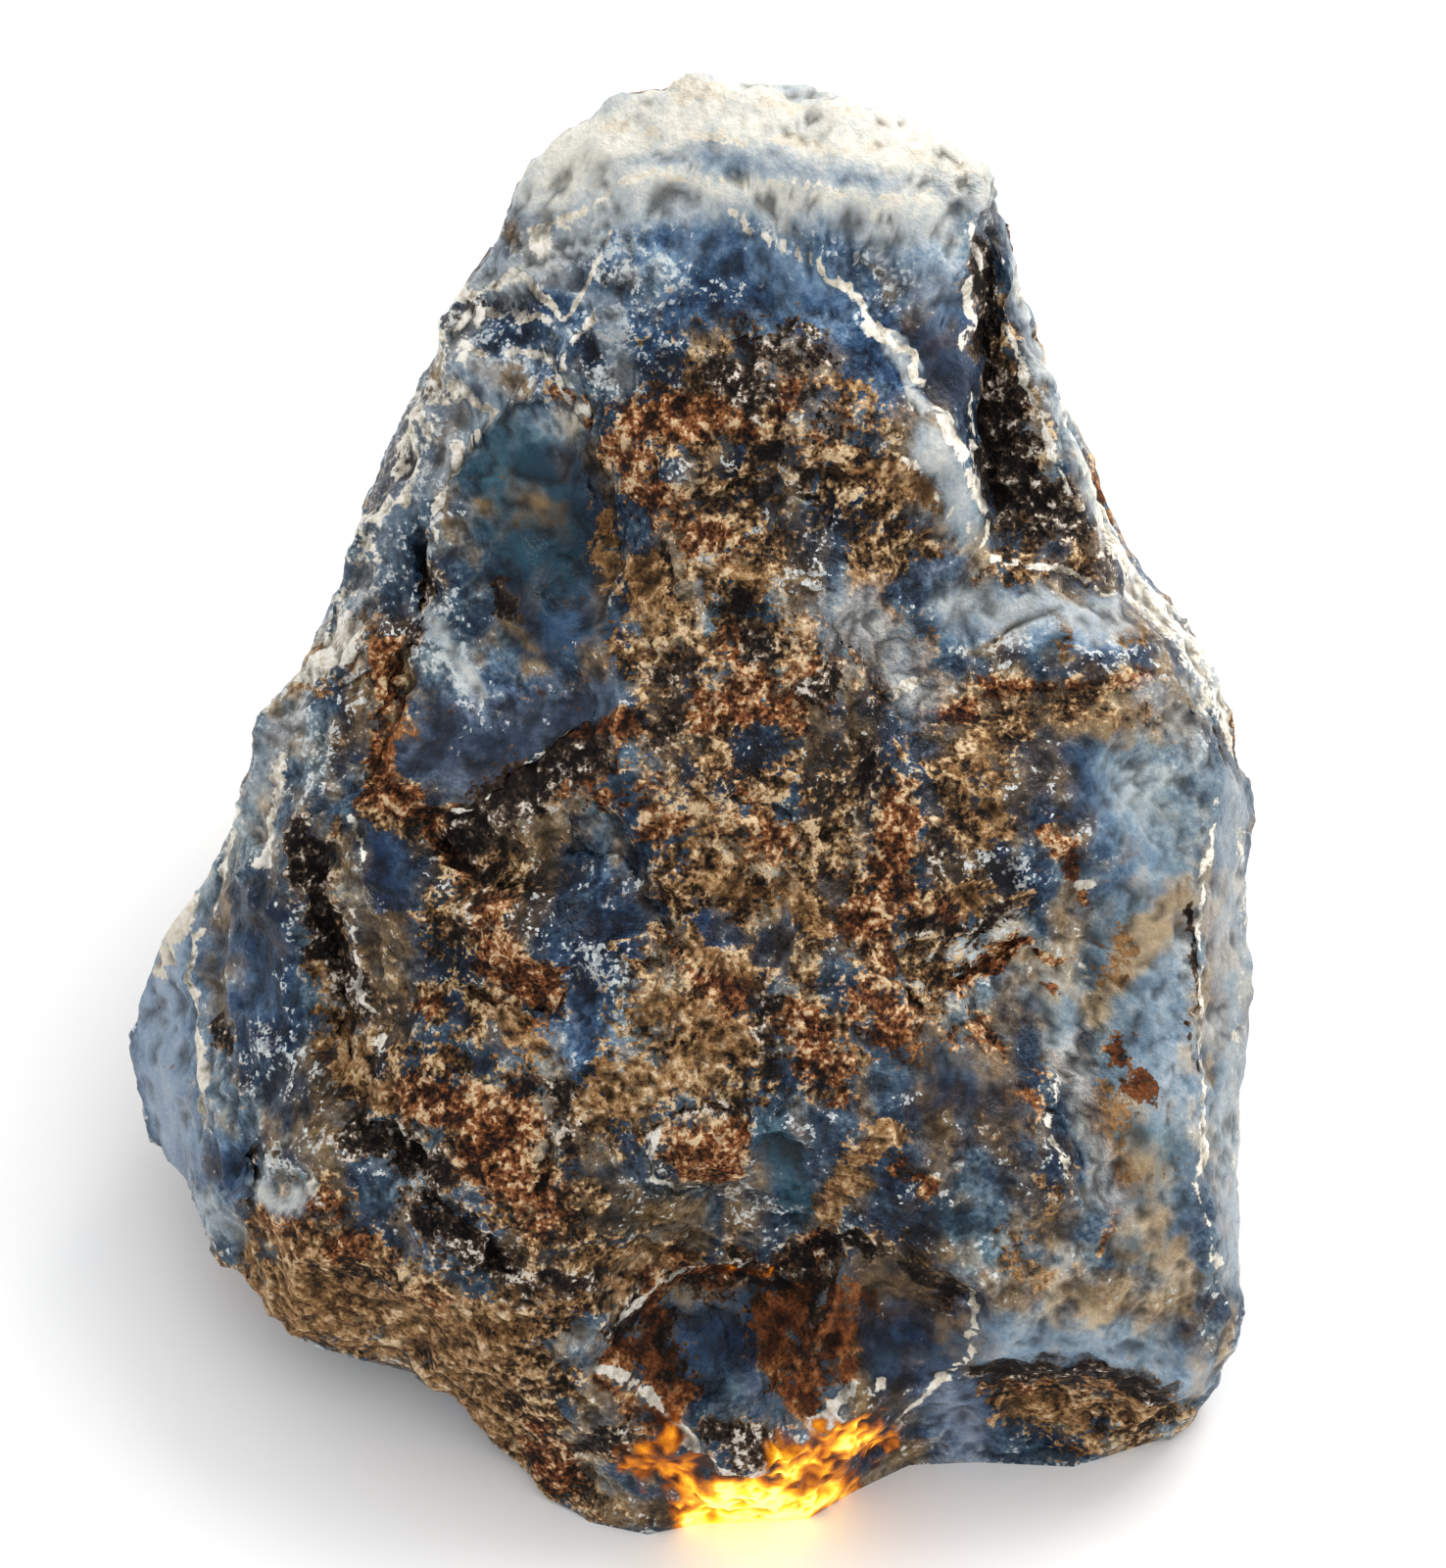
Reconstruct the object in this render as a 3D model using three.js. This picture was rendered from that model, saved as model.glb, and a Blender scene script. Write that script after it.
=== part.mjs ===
// A rough blue opal: one lump of broken precious-stone rough, standing on a flat fracture face.
//
// The stone is star-shaped about a point inside it, so its surface is one distance for each
// direction. Named ridge lines and facet corners fix that distance where the form needs it.
// Filler points between them follow the flat facets the ridges span, and then take the scoops,
// ledges, lumps, pits and grain that fracture and weathering left. Units are millimetres, +Z up.
import * as THREE from 'three';
import { ConvexHull } from 'three/addons/math/ConvexHull.js';

// ---- Frames ---------------------------------------------------------------------------------

// The broad front of the stone leans back. Its features are placed in a leaning frame:
// across (+X), up the lean, and proud of it (out of the stone).
const FACE_LEAN = THREE.MathUtils.degToRad(50);
const LEAN_SIN = Math.sin(FACE_LEAN);
const LEAN_COS = Math.cos(FACE_LEAN);

// The inner point that sees the whole surface.
const HEART = new THREE.Vector3(0, 30, 22);
const ORIGIN = new THREE.Vector3();
const ROUNDING = 1e-4;
const PROUD = new THREE.Vector3(0, -LEAN_COS, LEAN_SIN);

// ---- Mesh fineness --------------------------------------------------------------------------

const RIDGE_STEP = 1.5;          // spacing of points along a ridge
const FRONT_SPACING = 1.05;      // least distance between points on the leaning front
const BACK_SPACING = 2.1;        // and on the plainer back and flanks
const BASE_SPACING = 7;          // and on the flat base
const RIDGES_APART = 0.6;        // ridge points closer together than this are merged
const FRONT_LIMIT = -4;          // the front ends this far behind the leaning frame's zero
const FRONT_FADE = 4;            // and its relief grows to full over this much in front of that
const BASE_FADE = 1.5;           // relief grows to full over this much height above the base
const BASE_SNAP = 0.02;          // points nearer to the base than this are set on it
const CANDIDATES = 150000;       // directions tried when filling
const FILL_SEED = 7;

// ---- Ridges and facet corners on the leaning front: [across, up, proud] -----------------------

const FRONT_LINES = {
  topFrontEdge: [[-10.6, 67.2, 10.6], [-7.9, 68, 12.4], [-4.9, 67.7, 13.8], [-1.9, 69, 14.2],
    [1.1, 68.6, 15], [6.1, 68, 14.9], [9.1, 68, 14], [11.1, 68.7, 12.9], [13.1, 69.3, 11.4]],
  topBackEdge: [[-9.6, 69.8, 10], [-6.9, 72.5, 10.9], [-4.4, 73.5, 11.6], [-2.4, 74.1, 12.2],
    [-0.6, 74, 12.6], [1.1, 73.4, 12.8], [3.6, 72.8, 12.9], [6.1, 72.7, 12.7],
    [8.1, 72.2, 12.6], [10.1, 71.5, 12.4], [12.3, 70.4, 11.4], [13.7, 69.7, 10.8]],
  leftEdgeHigh: [[-10.6, 67.2, 10.6], [-11.9, 65, 9.6], [-13.1, 63.5, 9], [-14.4, 61.7, 8.4],
    [-15.3, 59.3, 7.8], [-16.4, 56.5, 7.4], [-18.1, 52.5, 6.8], [-19.3, 50, 6.2],
    [-20, 47.4, 5.6], [-21.1, 45.7, 5], [-23.4, 42, 4], [-24.9, 38.5, 3], [-25.2, 36, 2]],
  leftBulgeRim: [[-25.2, 36, 2], [-25.5, 34.5, 1], [-26.9, 32.7, -1], [-28.2, 31, -2.6],
    [-29.4, 29.2, -4], [-30.4, 26.5, -6], [-30.8, 25, -7], [-30.6, 22.5, -8],
    [-29.9, 20.5, -8.6], [-29.1, 18.5, -9.2], [-27.9, 17, -9.6]],
  leftChipRim: [[-26.9, 16.4, -4.6], [-26.9, 15.5, -3], [-26.1, 13.5, -2.5], [-25.1, 12.5, -2.5],
    [-23.9, 10.5, -2.6], [-21.9, 8.7, -2.5], [-19.4, 8, -2], [-16.9, 7.5, -1.5],
    [-14.9, 6.7, -1.2], [-13.9, 5.5, -1], [-12.4, 4, -1], [-10.4, 3, -0.8], [-8.9, 1, -0.4]],
  rightEdgeHigh: [[13.7, 69.7, 10.8], [14.6, 67.2, 9], [15.3, 65.5, 8], [16.5, 62.5, 7],
    [17.8, 58, 6], [18.6, 55.7, 5.5], [19.5, 54, 5], [20.1, 50.9, 4.6]],
  rightEdgeMiddle: [[21.1, 50.4, 4], [23.1, 47.6, 3.5], [24.2, 46, 3], [25.7, 42.5, 2.5],
    [27.1, 39.5, 2], [27.7, 38.2, 2], [27.5, 36.5, 2], [26.9, 33, 2.5], [26.8, 30, 2.5]],
  rightEdgeLow: [[27.1, 28.6, 2.5], [26.8, 25.5, 2.5], [26.4, 20.5, 2], [26.2, 18, 1.5],
    [26.8, 13.5, 0.5], [26.9, 11, 0], [26.7, 9, -0.5], [25.8, 7.5, -1], [25.1, 6.5, -1.5],
    [24.3, 5, -2.2], [23.1, 4, -3]],
  crestToShoulder: [[4.1, 66, 14.9], [6.6, 62.5, 14.7], [8.3, 60.7, 14.6], [9.8, 58.7, 14.4],
    [11.1, 56.5, 14.1], [12.3, 53.5, 13.9], [13.1, 51, 13.3], [13.2, 49.6, 12.8]],
  notchLeftEdge: [[13.1, 68.2, 12], [12.6, 65.5, 12.3], [12.3, 61.5, 12.2], [12.2, 57, 12.6],
    [12.4, 54.4, 13.4]],
  notchFoot: [[13.5, 65.4, 11.2], [13.2, 61.5, 11.4], [13.2, 57, 11.6], [13.6, 53, 11.6],
    [14.4, 50.3, 10.8]],
  notchRightEdge: [[14.8, 64.5, 9.9], [15.8, 61.5, 9.4], [16.8, 58.5, 9],
    [17.6, 55.5, 8.7], [18.5, 52.5, 8.3], [19.3, 50.2, 8]],
  shelfBack: [[13.4, 49.2, 11.6], [15, 49.3, 10], [16.6, 49.4, 9.4], [18.4, 49.3, 8.9],
    [20.1, 49, 7.9]],
  shelfLip: [[9.1, 41, 14], [11, 42, 14], [13.1, 42.6, 13.9], [15.2, 42.9, 13.5],
    [17.1, 43, 12.9], [20, 43.3, 11.3], [22.6, 43.6, 9.4]],
  rightRidge: [[22.1, 46, 7.4], [23.8, 43, 7.5], [25, 40, 7.3], [25.3, 38, 7.3],
    [24.3, 34.5, 8], [23.8, 30.5, 8], [23.8, 25.5, 7.8], [23.6, 22.5, 7.6], [23.8, 19, 7],
    [24.8, 15.5, 5.8], [25.1, 13, 5.2], [25, 9.6, 3.8]],
  faceFoldRight: [[18.6, 30, 12.2], [18.6, 27, 12], [17.4, 23, 12.2], [16.1, 21, 12.3],
    [17.6, 18.5, 11.2], [18.6, 15.5, 10]],
  scoopUpperRim: [[-6.9, 9.6, 8.8], [-4.9, 11.1, 10.2], [-2.9, 12.6, 11.3], [1.1, 14.6, 12.4],
    [4.6, 16.6, 12.9], [7.1, 18.4, 13]],
  scoopRightRim: [[7.1, 18.4, 13], [8.1, 15.5, 12.2], [11.1, 14, 11.4], [13.1, 12, 10.2],
    [13.7, 10.4, 9.2]],
  scoopLip: [[-6.6, 8.4, 8.4], [-4.8, 7, 8], [-2.9, 5.5, 7.5], [-0.4, 3.3, 6.9],
    [2.6, 3.2, 6.8], [4.6, 5, 6.8], [8.1, 6.5, 6.6], [11.1, 8, 6.4], [13.1, 8.5, 6.4]],
  rightLip: [[13.1, 8.5, 6.4], [17.1, 8.5, 5.9], [20.6, 7.5, 4.6], [24.4, 7, 2]],
  leftFaceRidge: [[-20.4, 36, 8.6], [-19.2, 34.5, 9.6], [-18.5, 31.5, 10.3], [-18.7, 28.5, 10.2],
    [-18.1, 25.5, 10.2], [-17.5, 23, 9.9], [-17.4, 21, 9.4]],
  leftRecessFoot: [[-20.6, 35.6, 8.4], [-20.2, 33, 8.8], [-20, 30, 8.8], [-20, 27, 8.7],
    [-19.2, 24, 8.9], [-18.8, 21.4, 8.6]],
  leftStripRidge: [[-23.4, 34, 6.2], [-23.9, 31, 6.4], [-24, 27.5, 6.3], [-23.6, 24, 6.2],
    [-23.4, 20.5, 5.8], [-23.6, 18, 4.8]],
  bulgeSeam: [[-25.4, 33, 2.4], [-26.4, 30, 1], [-26.9, 27.5, 0.2], [-26.9, 24, 0],
    [-26.7, 21, 0], [-26.3, 18.6, 0.4]],
  crustUpperEdge: [[-24.6, 16.8, 3.6], [-20.9, 18, 7.4], [-17.6, 19, 9], [-14.2, 17, 9.8],
    [-11.4, 14.2, 9.8], [-9.2, 11.8, 9.4], [-6.9, 9.6, 8.8]],
  grooveWall: [[-14.7, 50, 9.7], [-14.4, 46.5, 10], [-14.9, 42.8, 10.2], [-16.6, 39.6, 9.8]],
  grooveFoot: [[-15.4, 50, 9.2], [-15.2, 46.5, 9.4], [-15.8, 42.8, 9.2], [-17.4, 39.6, 8.6]],
  slateLowerEdge: [[-17.6, 37.8, 9.8], [-15.4, 36.9, 11], [-13.4, 36.2, 12],
    [-11.2, 37.1, 12.8], [-8.9, 38.6, 13.5], [-6.4, 40.8, 14]],
  underSlate: [[-15.2, 35.3, 10.2], [-13, 34.6, 10.8], [-10.4, 35.6, 11.8], [-7.6, 37.6, 12.8]],
};

// Single corners inside the facets of the front: [across, up, proud].
const FRONT_CORNERS = [
  [-6.4, 70.4, 12.6], [0, 71, 14], [6, 70.6, 14],           // top plateau
  [-11, 62.5, 11.8], [-7.4, 60, 13.4], [-13.6, 58.4, 9.8],  // small lumps, upper left
  [-14.4, 53.4, 9.6], [-12, 47, 10.2], [-10.4, 52, 11],     // smooth glassy hollow
  [-7, 48.4, 12.8], [-6, 55.5, 13], [-9, 56.6, 12.4],
  [-17.6, 48.6, 7.6], [-19.4, 43.6, 7.4], [-21.6, 39.4, 6.6],
  [-0.4, 62, 14.2], [-1.8, 57, 14], [4.6, 57.6, 14.8],      // blue band and the crust under it
  [9.4, 52.6, 14.4], [3.4, 50, 14.4], [-2.4, 46, 14.4],
  [11, 48, 13.6], [7, 46.4, 14.4],
  [1.4, 40, 14.8], [6, 36, 14.4], [-4, 33.4, 14],
  [-10, 30.6, 12.4], [-14.6, 31.4, 11.2], [-13.2, 25, 11.6],
  [-7.4, 26, 13.2], [-1.6, 25.6, 14], [4.6, 27.6, 14.2],
  [9.4, 31.6, 14.2], [14.6, 35.6, 13.2], [19.4, 37.6, 11.4],
  [10.8, 25, 13.6], [6.6, 21.6, 13.8], [-0.6, 20, 13.2],
  [-5.4, 16.6, 12], [-9.6, 19, 12.2], [12, 18.4, 12.6],
  [20.6, 30, 10.6], [20.8, 22, 9.8], [21.2, 14, 8],         // outer half of the right face
  [0.2, 9.4, 8.4], [5.4, 10.8, 8.8], [-2.6, 7.4, 7.4],      // floor of the scoop
  [9.6, 10.4, 8.4],
  [17, 12, 8.6], [21.6, 10, 5.6],
  [-21.6, 13, 4.8], [-16.6, 13.4, 7.2], [-12.4, 9.2, 6.4],  // weathered lower left
  [-8.6, 5.6, 5], [-17.6, 9.8, 3.2],
  [-28.8, 27.6, -2.6], [-28.6, 22.4, -3.6], [-27.6, 19, -3.6],  // smooth left bulge
];

// ---- The foot, flanks and back: [x, y, z] ------------------------------------------------------

const BASE_EDGE = [[-8.4, 1.6, 0], [-6.9, 0, 0], [-3.9, -0.8, 0], [-1.6, -0.2, 0], [4.4, 0.2, 0],
  [6.6, 1.9, 0], [9.6, 3.7, 0], [13.1, 3.9, 0], [18.1, 3.6, 0], [22.6, 5.4, 0], [24.8, 9, 0],
  [25.6, 16, 0], [24.4, 26, 0], [25.2, 34, 0], [21.6, 44, 0], [19.4, 52.4, 0], [12.6, 57.4, 0],
  [4, 57, 0], [-4.4, 60.4, 0], [-12, 54, 0], [-15.4, 46.4, 0], [-21, 40.4, 0], [-22.4, 33, 0],
  [-21, 27, 0], [-20.6, 20.6, 0], [-16.6, 13.6, 0], [-12.6, 7.6, 0], [-8.4, 1.6, 0]];

const BACK_LINES = {
  leftBackRidge: [[-9.6, 47.4, 52.4], [-11, 49.4, 44], [-15.4, 49.6, 33], [-18.4, 49.6, 22],
    [-16.4, 50, 9], [-15.4, 50.4, 3]],
  spine: [[4, 49.4, 55.6], [1.4, 54.6, 47], [3.6, 58.4, 37], [-2, 62, 25], [-3.4, 62.4, 12],
    [-4.2, 61, 3]],
  rightBackRidge: [[13.6, 46.6, 51.6], [14.4, 49, 42], [17.4, 49.6, 31], [16.6, 54.6, 20],
    [18.8, 54, 8], [19, 53, 2]],
  leftShoulderBack: [[-21, 33.4, 32], [-22.6, 35.4, 23], [-24.8, 34, 13], [-23.8, 35, 5]],
  rightShoulderBack: [[20.8, 38, 32.6], [24.4, 37, 26], [25.8, 35.4, 15], [25.6, 34.6, 5]],
};

const BACK_CORNERS = [
  [-5, 54.6, 42], [-7.4, 59, 29], [-9.4, 59, 15], [9.8, 56, 38], [11.6, 60.4, 22],
  [8, 60.4, 8], [-20.6, 42.4, 20], [-21.4, 41.4, 8], [22, 45, 24], [22.4, 46, 10],
  [-28.4, 27, 7.6], [-27, 20.4, 4.6], [-24, 17.6, 3], [26.4, 22, 10], [26.2, 14, 4.6],
  [-18.4, 12.6, 2.6], [-13.4, 7.6, 2], [-25.4, 28, 3.4],
  [0, 20, 0], [0, 40, 0], [-10, 30, 0], [12, 30, 0],
];

// ---- Fracture and weathering ------------------------------------------------------------------

// Hollows with a steep wall on one side. At each height: where the hollow begins, where its
// foot lies, where it ends, and the depth of its foot: [up, begins, foot, ends, depth].
const GULLIES = {
  notch: [
    [68, 13.1, 13.6, 14.1, 0], [65.4, 12.6, 13.5, 14.7, 1.6], [61.5, 12.3, 13.2, 15.8, 3.4],
    [57, 12.2, 13.2, 17.1, 4.4], [53, 12.6, 13.6, 18.3, 4.2], [50.3, 13.3, 14.4, 19.3, 2],
    [49.2, 13.6, 15, 19.6, 0],
  ],
  leftRecess: [
    [36.4, -22.8, -20.6, -19.4, 0], [34.4, -22.6, -20.3, -19, 2.2],
    [31, -22.4, -20, -18.5, 3.2], [27, -22.6, -20, -18.6, 3], [24, -22.2, -19, -17.6, 2.6],
    [21.4, -21, -18.8, -17.4, 1.6], [19.6, -20, -18.4, -17.2, 0],
  ],
  groove: [
    [52, -16, -15.4, -14.8, 0], [50, -16.4, -15.4, -14.7, 1.5], [46, -16.4, -15.2, -14.4, 1.7],
    [42.6, -17.2, -15.8, -14.8, 1.6], [39.6, -18.8, -17.4, -16.6, 1.3],
    [37.4, -20, -18.6, -17.8, 0],
  ],
  slotByBulge: [
    [20.4, -25, -24.4, -23.8, 0], [18.8, -25.2, -24.4, -23.6, 1.6],
    [16.6, -25, -24.2, -23.2, 1.2], [15.4, -24.6, -24, -23.4, 0],
  ],
};

// Spherical flake scars on the front: centre [across, up, proud] and radius of the flake.
const SCOOPS = [
  { at: [-10.6, 52, 24.6], radius: 13.4 },     // glassy hollow, upper left
  { at: [3.6, 9.6, 21.6], radius: 13.2 },      // hollow at the foot
  { at: [-1.6, 8.4, 16.4], radius: 9.2 },
  { at: [0.4, 63.6, 30.4], radius: 16.4 },     // blue scar under the top edge
  { at: [-14.4, 42.2, 22], radius: 11.6 },     // slate facet
  { at: [15.4, 46.4, 24], radius: 13.6 },      // shelf
  { at: [20.6, 25.6, 27.4], radius: 17.6 },    // right face
  { at: [-25.4, 26, 18.6], radius: 12.8 },     // left strip
  { at: [9.6, 62.6, 28.6], radius: 15.2 },     // facet beside the notch
];

// Flake scars on the back and flanks: a point of the plain surface, the way it faces,
// the radius of the flake and how deep it bites below the point.
const BACK_SCOOPS = [
  { at: [-6, 58.4, 33], facing: [-0.35, 0.9, 0.25], radius: 30, bite: 2.8 },
  { at: [9.4, 58.4, 30], facing: [0.35, 0.92, 0.2], radius: 24, bite: 2.6 },
  { at: [21, 47.6, 22], facing: [0.85, 0.5, 0.1], radius: 24, bite: 2.4 },
  { at: [-20.4, 45, 19], facing: [-0.85, 0.5, 0.15], radius: 24, bite: 2.4 },
  { at: [3, 61.4, 11], facing: [0.1, 1, -0.1], radius: 15, bite: 2.2 },
  { at: [-11.4, 57.4, 8], facing: [-0.5, 0.8, -0.1], radius: 13, bite: 1.8 },
  { at: [20.6, 50, 6], facing: [0.75, 0.6, -0.1], radius: 12, bite: 1.6 },
  { at: [-23.4, 36, 6], facing: [-0.95, 0.2, -0.2], radius: 12, bite: 1.6 },
  { at: [25.6, 37.4, 12], facing: [0.98, 0.2, -0.05], radius: 13, bite: 1.3 },
  { at: [8.4, 51.6, 49.6], facing: [0.3, 0.85, 0.35], radius: 14, bite: 1.6 },
  { at: [-6.4, 50.8, 49], facing: [-0.4, 0.8, 0.35], radius: 13, bite: 1.4 },
];

// Steps in the front: a line [across, up], how far the surface drops beside it (on its left
// hand where the drop is above zero, else on its right), and how far the drop takes to fade.
const LEDGE_TAPER = [-0.2, 1.6];   // a drop begins and is whole this far from the line's end
const LEDGES = [
  { line: [[-9, 33], [-8.2, 35.4], [-5.8, 36.2], [-3.8, 34.2], [-3.4, 31]], drop: -1, fade: 4 },
  { line: [[-16, 30], [-12.6, 29.4], [-9.6, 27.6], [-8.6, 26.4]], drop: -1.1, fade: 4 },
  { line: [[9.2, 27.4], [12.2, 29.4], [15.4, 31.2]], drop: -1.2, fade: 3 },
  { line: [[18.6, 30], [18.6, 27], [17.4, 23], [16.1, 21], [17.6, 18.5], [18.6, 15.5]],
    drop: 0.9, fade: 5 },
  { line: [[-3.4, 20.6], [-1, 18.6], [1.6, 19.4]], drop: -0.9, fade: 3 },
  { line: [[-8, 58.6], [-6.4, 56.4], [-5.6, 53], [-5.2, 49], [-5.8, 45.4]], drop: -0.9, fade: 4 },
  { line: [[4.6, 44.6], [8.6, 43.4], [9.2, 40.6], [7.4, 36.4], [7.2, 32]], drop: -0.8, fade: 4 },
  { line: [[-1.4, 52], [1.6, 54.4], [5.8, 53.8], [7.6, 50.4]], drop: -0.8, fade: 3.4 },
  { line: [[-2.4, 31], [0.4, 33], [3.4, 31.6], [4.4, 28.4]], drop: -0.8, fade: 3 },
];

// Rounded lumps (height above zero) and pits (below zero): [across, up], radius and height.
const LUMPS = [
  { at: [-10.6, 35.2], radius: 2.9, height: 1 },
  { at: [-9.4, 55], radius: 2, height: 0.7 },
  { at: [-13.2, 60.6], radius: 2.2, height: 0.9 },
  { at: [-10, 63], radius: 2, height: 0.8 },
  { at: [-11.8, 57.4], radius: 1.8, height: 0.8 },
  { at: [-17.8, 45.4], radius: 2.6, height: 1.1 },
  { at: [-20.2, 41.2], radius: 2.2, height: 0.9 },
  { at: [-18.4, 33], radius: 2.4, height: 0.9 },
  { at: [-25.4, 17.4], radius: 2, height: 1.1 },
  { at: [3.8, 56], radius: 2.6, height: 0.8 },
  { at: [-5, 28.4], radius: 2.2, height: 0.9 },
  { at: [-1.6, 29], radius: 1.8, height: 0.8 },
  { at: [1, 36], radius: 2.4, height: 0.7 },
  { at: [-9.2, 30.4], radius: 2.8, height: 0.9 },
  { at: [6.6, 40], radius: 3, height: 0.7 },
  { at: [-2.6, 22.6], radius: 2.6, height: 0.8 },
  { at: [3.6, 19.6], radius: 2.2, height: 0.7 },
  { at: [8.2, 16.2], radius: 2, height: 0.8 },
  { at: [-16.6, 19], radius: 2, height: -1.8 },
  { at: [-11.2, 14], radius: 1.6, height: -1.5 },
  { at: [-24.2, 18.8], radius: 1.3, height: -1.2 },
  { at: [-4, 31.4], radius: 1.8, height: -0.8 },
  { at: [1.2, 31.4], radius: 1.8, height: -0.8 },
  { at: [-7.4, 31.8], radius: 1.7, height: -0.8 },
  { at: [-12.6, 27.6], radius: 1.6, height: -0.7 },
  { at: [6.6, 33.6], radius: 1.6, height: -0.8 },
  { at: [-2.6, 50], radius: 1.7, height: -0.7 },
  { at: [1.2, 46.6], radius: 1.6, height: -0.6 },
  { at: [20.6, 8.4], radius: 1.6, height: -0.6 },
];

// Rough grain everywhere, and a coarser heave on the weathered parts of the front.
const GRAIN_HEIGHT = 0.22;
const GRAIN_SIZE = 2.6;
const HEAVE_HEIGHT = 0.55;
const HEAVE_SIZE = 5.2;

// Weathered regions of the front: an ellipse [across, up] with half-axes. Weathering is gone
// at WEATHER_ENDS times the half-axes and fades over WEATHER_FADE of them.
const WEATHER_ENDS = 1.15;
const WEATHER_FADE = 0.3;
const WEATHERED = [
  { at: [0, 38], half: [9, 24] },
  { at: [-14, 10], half: [11, 7] },
  { at: [-10, 27], half: [9, 9] },
  { at: [16, 58], half: [3, 9] },
];

// ---- Directions, hulls and rays ------------------------------------------------------------------

function fromFace([across, up, proud]) {
  return new THREE.Vector3(
    across,
    up * LEAN_SIN - proud * LEAN_COS,
    up * LEAN_COS + proud * LEAN_SIN,
  );
}

function toFace(point) {
  return {
    across: point.x,
    up: point.y * LEAN_SIN + point.z * LEAN_COS,
    proud: point.z * LEAN_SIN - point.y * LEAN_COS,
  };
}

function alongLine(points, step) {
  const out = [points[0].clone()];
  for (let i = 1; i < points.length; i += 1) {
    const parts = Math.max(1, Math.round(points[i].distanceTo(points[i - 1]) / step));
    for (let k = 1; k <= parts; k += 1) {
      out.push(new THREE.Vector3().lerpVectors(points[i - 1], points[i], k / parts));
    }
  }
  return out;
}

// Triangles, as triples of indices, of the sphere's surface between the given directions.
function triangulateDirections(directions) {
  const index = new Map(directions.map((direction, i) => [direction, i]));
  const hull = new ConvexHull().setFromPoints(directions);
  return hull.faces.map((face) => {
    const corners = [];
    let edge = face.edge;
    do {
      corners.push(index.get(edge.head().point));
      edge = edge.next;
    } while (edge !== face.edge);
    return corners;
  });
}

// The distance from the heart to a triangulated surface along a direction.
function surfaceAlong(surface, direction) {
  for (const face of surface.faces) {
    if (direction.dot(face.middle) < face.reach) continue;
    const hit = new THREE.Ray(ORIGIN, direction).intersectTriangle(
      face.a, face.b, face.c, false, new THREE.Vector3());
    if (hit) return hit.length();
  }
  return null;
}

function makeSurface(points) {
  const directions = points.map((point) => point.clone().sub(HEART).normalize());
  const faces = triangulateDirections(directions).map(([i, j, k]) => {
    const middle = new THREE.Vector3().add(directions[i]).add(directions[j]).add(directions[k]);
    middle.normalize();
    return {
      a: points[i].clone().sub(HEART),
      b: points[j].clone().sub(HEART),
      c: points[k].clone().sub(HEART),
      middle,
      reach: Math.min(...[i, j, k].map((n) => middle.dot(directions[n]))) - ROUNDING,
    };
  });
  return { faces };
}

// ---- Noise -----------------------------------------------------------------------------------

function seededRandom(seed) {
  let state = seed;
  return () => {
    state = (state + 0x6d2b79f5) | 0;
    let t = Math.imul(state ^ (state >>> 15), 1 | state);
    t = (t + Math.imul(t ^ (t >>> 7), 61 | t)) ^ t;
    return ((t ^ (t >>> 14)) >>> 0) / 4294967296;
  };
}

function cornerValue(x, y, z) {
  return seededRandom((x * 73856093) ^ (y * 19349663) ^ (z * 83492791))() * 2 - 1;
}

// Smooth noise between -1 and 1 with features about one unit across.
function noise(x, y, z) {
  const cell = [Math.floor(x), Math.floor(y), Math.floor(z)];
  const part = [x - cell[0], y - cell[1], z - cell[2]].map((t) => t * t * (3 - 2 * t));
  let sum = 0;
  for (let corner = 0; corner < 8; corner += 1) {
    const bits = [corner & 1, (corner >> 1) & 1, corner >> 2];
    const weight = bits.reduce((w, bit, axis) => w * (bit ? part[axis] : 1 - part[axis]), 1);
    sum += weight * cornerValue(cell[0] + bits[0], cell[1] + bits[1], cell[2] + bits[2]);
  }
  return sum;
}

function noiseAt(point, size) {
  return noise(point.x / size, point.y / size, point.z / size);
}

// ---- Shaping ---------------------------------------------------------------------------------

function fadeOut(distance, reach) {
  const t = THREE.MathUtils.clamp(1 - distance / reach, 0, 1);
  return t * t * (3 - 2 * t);
}

// Cuts a ray short where it enters a spherical flake scar.
function cutByScoop(distance, direction, centre, radius) {
  const toCentre = centre.clone().sub(HEART);
  const along = toCentre.dot(direction);
  const gap = toCentre.lengthSq() - along * along;
  if (along < 0 || gap >= radius * radius) return distance;
  return Math.min(distance, along - Math.sqrt(radius * radius - gap));
}

// Where a point of the plane lies against a line of points: its distance, the side it is on
// (positive on the left hand), and how far its nearest point is from the line's nearer end.
function besideLine(line, across, up) {
  let best = { distance: Infinity, side: 0, along: 0 };
  let walked = 0;
  for (let i = 1; i < line.length; i += 1) {
    const [ax, ay] = line[i - 1];
    const [bx, by] = line[i];
    const length = Math.hypot(bx - ax, by - ay);
    const dx = (bx - ax) / length;
    const dy = (by - ay) / length;
    const t = THREE.MathUtils.clamp((across - ax) * dx + (up - ay) * dy, 0, length);
    const distance = Math.hypot(across - ax - dx * t, up - ay - dy * t);
    const side = Math.sign(dx * (up - ay) - dy * (across - ax));
    if (distance < best.distance) best = { distance, side, along: walked + t };
    walked += length;
  }
  return { ...best, fromEnd: Math.min(best.along, walked - best.along) };
}

function ledgeShift({ line, drop, fade }, across, up) {
  const { distance, side, fromEnd } = besideLine(line, across, up);
  if (side * Math.sign(drop) <= 0) return 0;
  const taper = THREE.MathUtils.smoothstep(fromEnd, ...LEDGE_TAPER);
  return -Math.abs(drop) * taper * fadeOut(distance, fade);
}

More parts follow.
